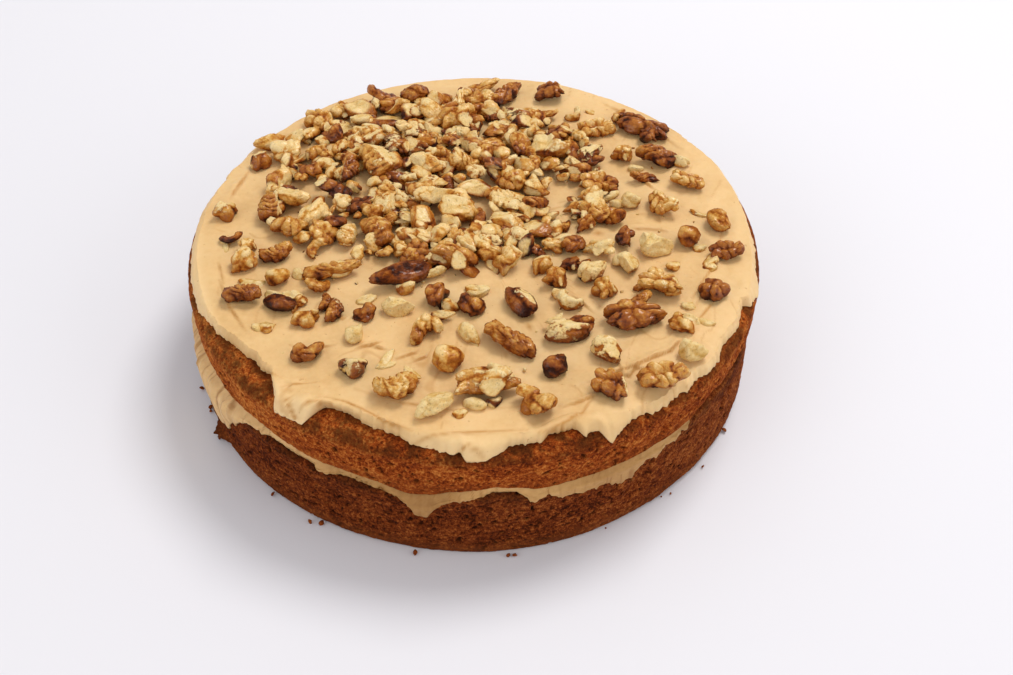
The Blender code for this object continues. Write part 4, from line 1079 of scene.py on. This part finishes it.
# Walnuts that lie apart, in the order of their nodes: kind, place across and along, length, width
# (mm), turn (degrees), form, tone from 0 (pale amber) to 1 (darkest), and share of bare flesh
loose = (
    ("half", 71, -85, 19, 13, 10, "cup", 0.45, 0.05),
    ("half", 52, -89, 14, 12, -15, "domeBroken", 0.62, 0.05),
    ("piece", 26, -98, 13, 11, -20, "twin", 0.42, 0.0), ("piece", 7, -89, 25, 13, 12, "cluster", 0.48, 0.55),
    ("chunk", -12, -99, 16, 9, 38, "wedge", 0.40, 0.9), ("piece", -7, -76, 12, 11, 0, "bean", 0.30, 0.1),
    ("half", -25, -89, 17, 12, 22, "kidney", 0.42, 0.05), ("chunk", -42, -80, 11, 10, 20, "knob", 0.85, 0.5),
    ("piece", -59, -72, 13, 9, 5, "twin", 0.62, 0.0), ("chunk", -43, -62, 10, 7, 80, "block", 0.30, 0.9),
    ("piece", -39, -51, 10, 8, 30, "twin", 0.70, 0.3), ("piece", -51, -50, 12, 7, 75, "kidney", 0.72, 0.4),
    ("piece", -62, -54, 11, 8, 0, "lump", 0.38, 0.3), ("piece", -73, -46, 14, 8, -15, "bean", 0.92, 0.1),
    ("long", -88, -41, 16, 9, 8, "caterpillar", 0.70, 0.0), ("piece", -75, -31, 10, 8, 10, "bean", 0.32, 0.1),
    ("piece", -91, -22, 12, 10, 40, "cluster", 0.30, 0.5), ("piece", -102, 9, 10, 9, 0, "lump", 0.45, 0.5),
    ("long", -54, -27, 24, 8, 14, "caterpillar", 0.46, 0.1),
    ("long", -27, -31, 26, 10, 24, "bean", 0.84, 0.0),
    ("chunk", -27, -47, 13, 8, 8, "block", 0.80, 0.85), ("piece", -12, -42, 11, 9, 60, "tangle", 0.80, 0.15),
    ("piece", 1, -47, 12, 9, -25, "twin", 0.72, 0.1), ("piece", -16, -61, 14, 10, 205, "arch", 0.36, 0.30),
    ("long", 16, -65, 24, 10, -32, "caterpillar", 0.55, 0.1),
    ("piece", 20, -45, 16, 10, -65, "lump", 0.82, 0.35),
    ("piece", 33, -32, 11, 10, 15, "cluster", 0.50, 0.1), ("piece", 38, -45, 11, 8, -30, "arch", 0.40, 0.6),
    ("piece", 52, -39, 12, 10, 70, "cluster", 0.35, 0.3), ("piece", 37, -61, 18, 10, 5, "lump", 0.78, 0.6),
    ("piece", 33, -79, 11, 8, 45, "bean", 0.88, 0.3), ("chunk", 51, -71, 13, 9, -35, "knob", 0.60, 0.6),
    ("half", 63, -54, 24, 14, 8, "dome", 0.68, 0.1), ("piece", 80, -58, 11, 8, -40, "twin", 0.40, 0.2),
    ("chunk", 83, -71, 11, 9, 15, "block", 0.25, 0.95),
    ("half", 74, -36, 18, 12, -5, "domeBroken", 0.42, 0.4),
    ("half", 94, -38, 12, 11, -30, "dome", 0.72, 0.0), ("chunk", 62, -22, 12, 8, -60, "wedge", 0.35, 0.7),
    ("chunk", 74, -11, 14, 10, 20, "block", 0.30, 0.9), ("piece", 87, -7, 11, 10, 50, "bean", 0.52, 0.0),
    ("half", 102, -15, 14, 9, 10, "cup", 0.72, 0.1), ("piece", 101, 3, 13, 9, -68, "bean", 0.45, 0.3),
    ("piece", 78, 14, 14, 10, 80, "cluster", 0.36, 0.4), ("chunk", 66, 17, 9, 8, 0, "block", 0.30, 0.8),
    ("half", 91, 30, 15, 10, -15, "cup", 0.36, 0.2), ("long", 73, 32, 13, 6, -12, "spindle", 0.66, 0.0),
    ("long", 80, 45, 20, 10, -22, "spindle", 0.72, 0.2), ("piece", 64, 48, 10, 9, 0, "cluster", 0.38, 0.4),
    ("half", 75, 66, 24, 12, -25, "dome", 0.80, 0.25), ("half", 54, 67, 17, 10, 15, "cup", 0.35, 0.3),
    ("piece", -92, 42, 10, 8, 50, "lump", 0.60, 0.3), ("piece", -88, 56, 16, 8, 25, "bean", 0.22, 0.4),
    ("half", 34, 94, 14, 11, 0, "domeBroken", 0.85, 0.2), ("chunk", 47, -28, 13, 9, 35, "knob", 0.70, 0.7),
    ("long", -77, -18, 14, 8, 20, "caterpillar", 0.60, 0.1),
)
# chips on the icing: place across and along, length, width (mm), turn
chips = (
    (-2, -100, 6, 4, 20), (-29, -76, 9, 4, 30), (-87, -31, 8, 4, 10), (2, -36, 8, 5, 0),
    (90, -54, 8, 4, -20), (94, 11, 8, 3, -20), (81, -22, 7, 5, 40), (95, -23, 6, 5, 0),
    (-76, -57, 7, 6, 30), (-39, -41, 7, 4, 25), (1, -63, 9, 4, -50), (-98, -7, 9, 4, 15),
)
# smaller bits against and upon the others: the same, form, tone, bare share and lift (mm)
bits = (
    (-22, -19, 13, 11, 60, "dome", 0.7, 0.05, 0.6), (-15, -28, 12, 5, 5, "arch", 0.12, 0.95, 1.6),
    (-25, -36, 8, 6, 20, "lump", 0.3, 0.5, 0.4), (-7, -46, 7, 6, 0, "knob", 0.48, 0.3, 0),
    (-10, -52, 10, 4, 0, "shard", 0.4, 0.5, 2), (0, -61, 12, 6, -55, "bean", 0.15, 0.75, 0),
    (3, -37, 10, 7, -10, "shard", 0.1, 1.0, -0.4), (-5, -22, 19, 15, -20, "cluster", 0.52, 0.1, 0),
    (-2, -15, 12, 4, -50, "arch", 0.15, 0.95, 5), (11, -17, 18, 8, 15, "caterpillar", 0.4, 0.2, 1),
    (28, -23, 10, 8, 30, "lump", 0.4, 0.4, 0.2), (65, 75, 10, 8, 50, "cluster", 0.45, 0.2, 0.3),
    (50, 66, 10, 7, 0, "shard", 0.25, 0.6, 0.6), (70, 71, 11, 6, 5, "bean", 0.62, 0.05, 1),
    (77, 60, 10, 9, 70, "tangle", 0.9, 0.2, 0.6), (89, 44, 10, 6, -30, "knob", 0.25, 0.7, 1),
    (70, 40, 7, 4, 0, "knob", 0.2, 0.8, 0), (81, 12, 9, 8, 0, "tangle", 0.33, 0.5, 1.8),
    (57, 28, 11, 8, -20, "tangle", 0.72, 0.15, 0.4), (56, 20, 12, 4, 15, "arch", 0.15, 0.9, 0.8),
    (53, 7, 19, 10, -20, "kidney", 0.52, 0.15, 0.4), (46, 1, 9, 7, 30, "cluster", 0.6, 0.2, 1.2),
    (41, -12, 11, 9, 40, "domeBroken", 0.8, 0.3, 0.2), (52, -14, 13, 10, -30, "cluster", 0.28, 0.7, 0.2),
    (62, -8, 9, 8, 60, "tangle", 0.9, 0.3, 1), (60, -19, 9, 7, 80, "knob", 0.12, 0.9, 0),
    (96, 10, 9, 3, -22, "shard", 0.2, 0.9, -0.3), (53, 82, 6, 4, 10, "shard", 0.3, 0.5, -0.3),
    (38, 50, 12, 9, 20, "cluster", 0.55, 0.2, 0.4), (46, 50, 9, 4, -30, "arch", 0.85, 0.2, 2),
    (-97, -8, 10, 5, 5, "arch", 0.88, 0.0, 1.8), (-84, -33, 11, 5, 10, "shard", 0.15, 0.95, 0),
    (-76, -40, 9, 5, -30, "shard", 0.12, 1.0, 0.2), (-59, -36, 10, 7, 10, "kidney", 0.52, 0.2, 0.6),
    (-51, -26, 10, 8, 20, "block", 0.2, 0.75, 0.2), (-62, -30, 8, 6, 0, "bean", 0.35, 0.2, 0.2),
    (-78, -56, 8, 5, 30, "shard", 0.15, 0.9, -0.2), (-69, -40, 9, 6, 10, "shard", 0.1, 1.0, -0.3),
    (-40, -42, 9, 5, 20, "shard", 0.12, 0.95, -0.2), (-66, -45, 9, 6, 60, "cluster", 0.4, 0.3, 0.2),
    (-55, -45, 9, 5, 80, "kidney", 0.7, 0.2, 0.8), (-30, -74, 12, 4, 62, "shard", 0.15, 0.95, 0),
    (-20, -83, 8, 4, -30, "shard", 0.12, 1.0, 2.6), (85, -53, 9, 5, -20, "shard", 0.12, 1.0, -0.2),
    (12, -83, 11, 7, -20, "knob", 0.1, 0.9, 1.4), (5, -83, 10, 6, 10, "bean", 0.4, 0.1, 1.6),
    (0, -87, 9, 6, 60, "lump", 0.38, 0.3, 0.6), (3, -96, 9, 5, -10, "bean", 0.15, 0.9, -0.2),
    (10, -95, 7, 4, 30, "knob", 0.92, 0.0, -0.2), (33, -57, 8, 7, 20, "tangle", 0.12, 0.9, 1.2),
    (42, -57, 11, 8, -20, "cluster", 0.66, 0.1, 1.4), (65, -46, 12, 6, 30, "kidney", 0.55, 0.1, 3),
    (58, -55, 8, 6, 70, "bean", 0.75, 0.0, 1), (22, -93, 9, 6, 10, "bean", 0.34, 0.0, 2.6),
    (72, -31, 9, 7, 40, "tangle", 0.35, 0.3, 1.6), (78, -39, 8, 5, -20, "kidney", 0.45, 0.2, 0.8),
    (35, -39, 7, 5, 0, "lump", 0.2, 0.7, 0.2), (46, -23, 8, 6, 40, "tangle", 0.62, 0.2, 0.4),
    (85, -45, 7, 5, 20, "shard", 0.15, 0.9, -0.2), (-99, -12, 7, 4, 70, "shard", 0.2, 0.9, -0.2),
    (-67, -28, 8, 5, -40, "shard", 0.14, 0.9, 0), (-90, -13, 9, 7, 60, "cluster", 0.33, 0.5, 1.2),
    (96, -19, 10, 6, 60, "shard", 0.3, 0.6, 0.2), (39, -23, 9, 7, 0, "cluster", 0.75, 0.1, 0.3),
    (68, -35, 9, 6, 30, "kidney", 0.55, 0.2, 0.3), (49, 44, 15, 7, -20, "arch", 0.8, 0.2, 0.5),
    (47, 33, 13, 6, 30, "kidney", 0.55, 0.35, 0.5), (59, 5, 9, 8, 0, "bean", 0.58, 0.05, 1.2),
    (61, 16, 8, 5, 20, "knob", 0.2, 0.8, 0.2), (50, 16, 10, 6, -30, "tangle", 0.45, 0.3, 0.6),
    (43, 12, 12, 7, 10, "cluster", 0.4, 0.4, 0.5), (37, 0, 11, 6, 30, "spindle", 0.5, 0.2, 0.5),
    (33, -12, 10, 7, -10, "tangle", 0.45, 0.5, 0.4), (92, -11, 6, 4, 0, "shard", 0.3, 0.7, 0),
    (74, 66, 9, 6, 20, "kidney", 0.5, 0.3, 0.8), (38, 66, 10, 7, 30, "kidney", 0.45, 0.2, 0.4),
    (32, 78, 11, 6, -20, "spindle", 0.5, 0.3, 0.4), (45, 78, 9, 6, 40, "arch", 0.35, 0.6, 0.3),
)
heap = {
    "middle": (-17.0 * mm, 33.5 * mm), "half": (73.0 * mm, 59.0 * mm), "power": 2.8, "limit": 105.0 * mm,
    "seed": 31, "pieces": 77, "tries": 6000, "extraSeed": 5, "extra": 390, "extraSize": (5.5, 12.0),
    "rim": (
        ("half", -69, 71, 14, 12, 0), ("piece", -43, 88, 14, 11, -10), ("piece", -27, 91, 14, 12, 60),
        ("chunk", -4, 92, 13, 10, 70), ("piece", 4, 98, 17, 8, 20), ("long", 13, 91, 25, 8, 40),
        ("chunk", 15, -22, 12, 10, 30), ("piece", 45, 36, 16, 9, -30)),
}
# The forms and tones that walnuts in the heap are drawn from.
shapes = {
    "half": ("dome", "cup", "domeBroken", "shell"),
    "piece": ("cluster", "twin", "arch", "kidney", "bean", "kidney", "tangle", "shell", "dome", "spindle",
              "rind"),
    "long": ("caterpillar", "spindle", "kidney", "rind", "caterpillar"), "flake": ("shard",),
    "chunk": ("knob", "wedge", "lump", "rind", "bean", "shard", "block", "wedge"),
}
tones = (0.14, 0.24, 0.32, 0.38, 0.44, 0.50, 0.56, 0.64, 0.74, 0.88)


def heapEdge(angle):
    turn = math.radians(angle)
    across, along = abs(math.sin(turn)), abs(math.cos(turn))
    squared = (across / heap["half"][0]) ** heap["power"] + (along / heap["half"][1]) ** heap["power"]
    distance = squared ** (-1.0 / heap["power"]) + 2.5 * mm * math.sin(5 * turn + 0.6)
    while heapPoint(angle, distance).length > heap["limit"]:
        distance -= 0.5 * mm
    return distance


def heapPoint(angle, distance):
    turn = math.radians(angle)
    return Vector((heap["middle"][0] + distance * math.sin(turn),
                   heap["middle"][1] - distance * math.cos(turn), 0.0))


def heapPlaces():
    # the same draws as in the CAD source
    rng = random.Random(heap["seed"])
    apartFrom = [(Vector((row[1], row[2], 0.0)) * mm, row[3] * mm / 2) for row in loose]
    kinds = ("piece", "chunk", "half", "chunk", "long", "chunk", "flake")
    chosen = [(kind, Vector((x, y, 0.0)) * mm, length * mm, width * mm, turn, 0.0)
              for kind, x, y, length, width, turn in heap["rim"]]
    for _ in range(heap["tries"]):
        if len(chosen) == heap["pieces"]:
            break
        share = len(chosen) / heap["pieces"]
        angle, spread = rng.uniform(0.0, 360.0), math.sqrt(rng.random())
        length = rng.uniform(0.85, 1.15) * (19.0 - 9.0 * share) * mm
        kind, turn = rng.choice(kinds), rng.uniform(0.0, 180.0)
        point = heapPoint(angle, spread * (heapEdge(angle) - length / 3))
        inside = point.length + 0.35 * length < heap["limit"]
        apart = all((point - other).length > 0.33 * (length + size) for _, other, size, _, _, _ in chosen)
        clear = all((point - other).length > length / 2 + half + 1.0 * mm for other, half in apartFrom)
        if inside and apart and clear:
            lift = rng.uniform(0.0, 3.0) * mm * (1.0 - spread ** 2)
            chosen.append((kind, point, length, rng.uniform(0.55, 0.75) * length, turn, lift))
    return chosen


def sizeOf(kind, length, width):
    return length, width, kernel["heights"][kind] * width


def strew(form, name, point, size, turn, rest, tone, bare, rng, tumble=0.2):
    # one copy of a form: warped, tumbled a little, fitted to its size and set down
    master = kitchen[form][(size[0] < kernel["coarseUnder"]) + (size[0] < kernel["smallUnder"])]
    points = pointsOf(master)
    drift = np.array([rng.uniform(0, 90), rng.uniform(0, 90), rng.uniform(0, 90)])
    pull = np.array([noise.noise_vector(Vector(spot)) for spot in points * 0.9 + drift])
    points = points + 0.20 * pull
    tip = Euler((rng.uniform(-1.2, 1.2) * tumble, rng.uniform(-1, 1) * tumble, 0.0))
    points = points @ np.array(tip.to_matrix()).T
    low, high = points.min(axis=0), points.max(axis=0)
    middle = (low + high) / 2
    middle[2] = low[2]
    tall = size[2] + kernel["sink"]
    points = (points - middle) * (np.array((size[0], size[1], tall)) / (high - low))
    points = points @ np.array(Matrix.Rotation(math.radians(turn), 3, "Z")).T
    points += (point[0], point[1], rest - kernel["sink"])
    piece = added(name, master.data.copy())
    movePoints(piece, points)
    for kind, value in (("tone", tone), ("bare", bare)):
        paintOn(piece, kind, np.full(len(points), value))
    # height within the piece, used to paint shade towards its bottom and light on its top
    paintOn(piece, "up", np.clip((points[:, 2] - rest) / size[2], 0.0, 1.0))
    return piece


def gather(pieces, name, nodes, finish):
    made = joined(pieces, name)
    wear(made, finish)
    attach(made, "root")
    if nodes:
        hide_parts(*nodes)
    print(name + ":", len(pieces), "pieces,", len(made.data.polygons), "faces")


def walnutFinish():
    paint = Paint("walnutKernel", Specular_IOR_Level=0.05, IOR=1.47, Subsurface_Weight=0.05,
                  Subsurface_Scale=0.001, Subsurface_Radius=(1.0, 0.45, 0.15), Coat_Roughness=0.16)
    tone, bare, up, rib, skin, shade = (paint.attribute(name) for name in (
        "tone", "bare", "up", "rib", "skin", "shade"))
    patch = paint.noise(0.0050, 3.0, 0.6, 0.5)
    vein = paint.noise(0.0019, 4.0, 0.7, 0.8)
    fleck = paint.noise(0.0008, 3.0, 0.7)
    # darker in the folds between the lobes and towards the bottom: painted shade
    level = (tone * 0.88 + 0.06 + (patch - 0.5) * 1.15 + (vein - 0.5) * 0.65 + (0.70 - rib) * patch * 0.60
             + (0.5 - up) * 0.46 + shade * 0.12).held()
    skinColour = paint.ramp(level, (
        (0.0, (0.83, 0.58, 0.25)), (0.20, (0.64, 0.33, 0.070)), (0.42, (0.43, 0.145, 0.018)),
        (0.66, (0.225, 0.052, 0.0060)), (0.86, (0.095, 0.020, 0.0045)), (1.0, (0.036, 0.010, 0.006))))
    # the flesh darker in the folds and towards the bottom: painted shade
    fleshLevel = (patch * 0.5 + vein * 0.7 - 0.12 + (rib - 0.5) * 0.14 + (up - 0.5) * 0.25).held()
    fleshColour = paint.ramp(fleshLevel, (
        (0.10, (0.36, 0.16, 0.026)), (0.34, (0.62, 0.36, 0.095)), (0.55, (0.76, 0.54, 0.23)),
        (0.85, (0.84, 0.67, 0.37))))
    # bare flesh where worn, and paler towards the top: painted light
    wearAndTopLight = (bare * 1.5 + (patch - 0.5) * 1.6 + (vein - 0.5) * 0.7 + (rib - 0.6) * 0.1 + (up - 0.6) * 0.45
            + shade * 0.10 - 0.86).step(0.0, 0.20)
    shown = (1.0 - skin * (1.0 - wearAndTopLight)).held()
    colour = paint.blend(shown, skinColour, fleshColour)
    colour = paint.blend((1.0 - fleck.step(0.30, 0.44)) * 0.45, colour, (0.10, 0.032, 0.007))
    paint.feed(paint.shader.inputs["Coat Weight"], (rib * 0.55 * (1.0 - shown * 0.6)).held())
    paint.bump(vein * 0.7 + fleck * 0.5, 0.75, 0.5 * mm)
    return paint.finish(colour, (0.42 + vein * 0.2 + shown * 0.14).held())


def strewLoose(finish):
    # each walnut that lies apart, at the middle and on the foot of its own node
    rng = random.Random(12)
    names = {"half": "walnutHalves", "piece": "walnutPieces", "long": "walnutLongs", "chunk": "walnutChunks"}
    made = {kind: ([], []) for kind in names}
    for number, (kind, _, _, length, width, turn, form, tone, bare) in enumerate(loose, start=1):
        node = f"walnut_{number:02}"
        low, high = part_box(node)
        pieces, nodes = made[kind]
        size = sizeOf(kind, length * mm, width * mm)
        pieces.append(strew(form, node + "Look", (low + high) / 2, size, turn, low.z, tone, bare, rng))
        nodes.append(node)
    for kind, (pieces, nodes) in made.items():
        gather(pieces, names[kind], nodes, finish)


def strewHeap(finish):
    # the heap's larger pieces, then smaller ones among and upon them
    rng = random.Random(77)
    names = {"half": "heapedHalves", "piece": "heapedPieces", "long": "heapedLongs", "chunk": "heapedChunks",
             "flake": "heapedFlakes", "nib": "heapedNibs", "lump": "heapedLumps"}
    made = {kind: [] for kind in names}
    for kind, point, length, width, turn, lift in heapPlaces():
        bare = rng.choice((0.0, 0.0, 0.2, 0.35)) if kind != "chunk" else rng.choice((0.0, 0.2, 0.5))
        rest = cake["walnutRest"] + 0.15 * mm + lift
        size = sizeOf(kind, length, width)
        made[kind].append(strew(rng.choice(shapes[kind]), "heaped", point, size, turn, rest,
                                rng.choice(tones), bare, rng, 0.6))
    rng = random.Random(heap["extraSeed"])
    groups = {"piece": "nib", "chunk": "lump", "flake": "flake"}
    for _ in range(heap["extra"]):
        kind = rng.choice(("piece", "piece", "chunk", "chunk", "flake"))
        angle, spread = rng.uniform(0.0, 360.0), math.sqrt(rng.random())
        length = rng.uniform(*heap["extraSize"]) * mm
        point = heapPoint(angle, spread * (heapEdge(angle) - 3 * mm))
        width = rng.uniform(0.55, 0.85) * length
        rest = cake["walnutRest"] + rng.uniform(-0.3, 4.4) * mm * (1.0 - spread ** 2)
        size = sizeOf(kind, length, width)
        made[groups[kind]].append(strew(rng.choice(shapes[kind]), "heaped", point, size,
                                        rng.uniform(0, 360), rest, rng.choice(tones),
                                        rng.choice((0.0, 0.0, 0.2, 0.6)), rng, 0.8))
    for kind, pieces in made.items():
        gather(pieces, names[kind], ["walnut_heap"], finish)


def strewBits(finish):
    rng = random.Random(8)
    made = []
    for x, y, length, width, turn, form, tone, bare, lift in bits:
        size = sizeOf("flake" if form == "shard" else "piece", length * mm, width * mm)
        made.append(strew(form, "bit", (x * mm, y * mm), size, turn, cake["icingTop"] + lift * mm, tone, bare,
                          rng, 0.4))
    gather(made, "walnutBits", [], finish)


def strewDust(finish):
    # specks, some in the heap and the rest anywhere on the icing
    rng = random.Random(14)
    made = []
    for _ in range(crumbs["count"]):
        angle, spread = rng.uniform(0.0, 360.0), math.sqrt(rng.random())
        if rng.random() < crumbs["heapShare"]:
            point = heapPoint(angle, heapEdge(angle) * spread)
        else:
            point = Vector((rng.uniform(*crumbs["across"]), rng.uniform(*crumbs["along"]), 0.0)) * mm
        if point.length <= crumbs["limit"]:
            size = rng.uniform(*crumbs["size"]) * mm
            made.append(strew("crumb", "dust", point, (size, size * rng.uniform(0.6, 1.0), size * 0.45),
                              rng.uniform(0, 360), cake["icingTop"] + 0.1 * mm, rng.choice(tones),
                              rng.choice((0.0, 0.9)), rng, 0.5))
    gather(made, "walnutDust", [], finish)


def strewChips(finish):
    rng = random.Random(6)
    made = [strew("shard", "chip", (x * mm, y * mm), (length * mm, width * mm, 0.45 * width * mm), turn,
                  cake["icingTop"] - 0.2 * mm, 0.35, rng.choice((0.3, 0.9)), rng)
            for x, y, length, width, turn in chips]
    gather(made, "walnutChips", [], finish)


def dropCrumbs():
    # sponge crumbs round the foot of the cake
    rng = random.Random(3)
    made = []
    for _ in range(crumbs["floorCount"]):
        angle = np.array([rng.uniform(-180.0, 180.0)])
        spot = place(angle, layerRadius(angle) + rng.uniform(0.4, 3.2) * mm, 0.0)[0]
        size = rng.uniform(*crumbs["floorSize"]) * mm
        made.append(strew("crumb", "spongeCrumb", spot, (size, size * 0.8, size * 0.6), rng.uniform(0, 360),
                          kernel["sink"], 0.0, 0.0, rng, 1.0))
    piece = joined(made, "spongeCrumbs")
    wear(piece, spongeFinish("crumbSponge", {**lowerLook, "tones": upperLook["tones"]}))
    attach(piece, "root")


kernelFinish = walnutFinish()
for strewThem in (strewLoose, strewHeap, strewBits, strewDust, strewChips):
    strewThem(kernelFinish)
dropCrumbs()
for details in kitchen.values():
    for form in details:
        bpy.data.objects.remove(form, do_unlink=True)

for piece, node, slot in (
        (spongeBottom, "sponge_bottom", "lower_sponge"), (spongeTop, "sponge_top", "upper_sponge"),
        (creamFilling, "filling", "filling"), (creamIcing, "icing", "icing")):
    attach(piece, "root")
    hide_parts(node)
print("all pieces ride")
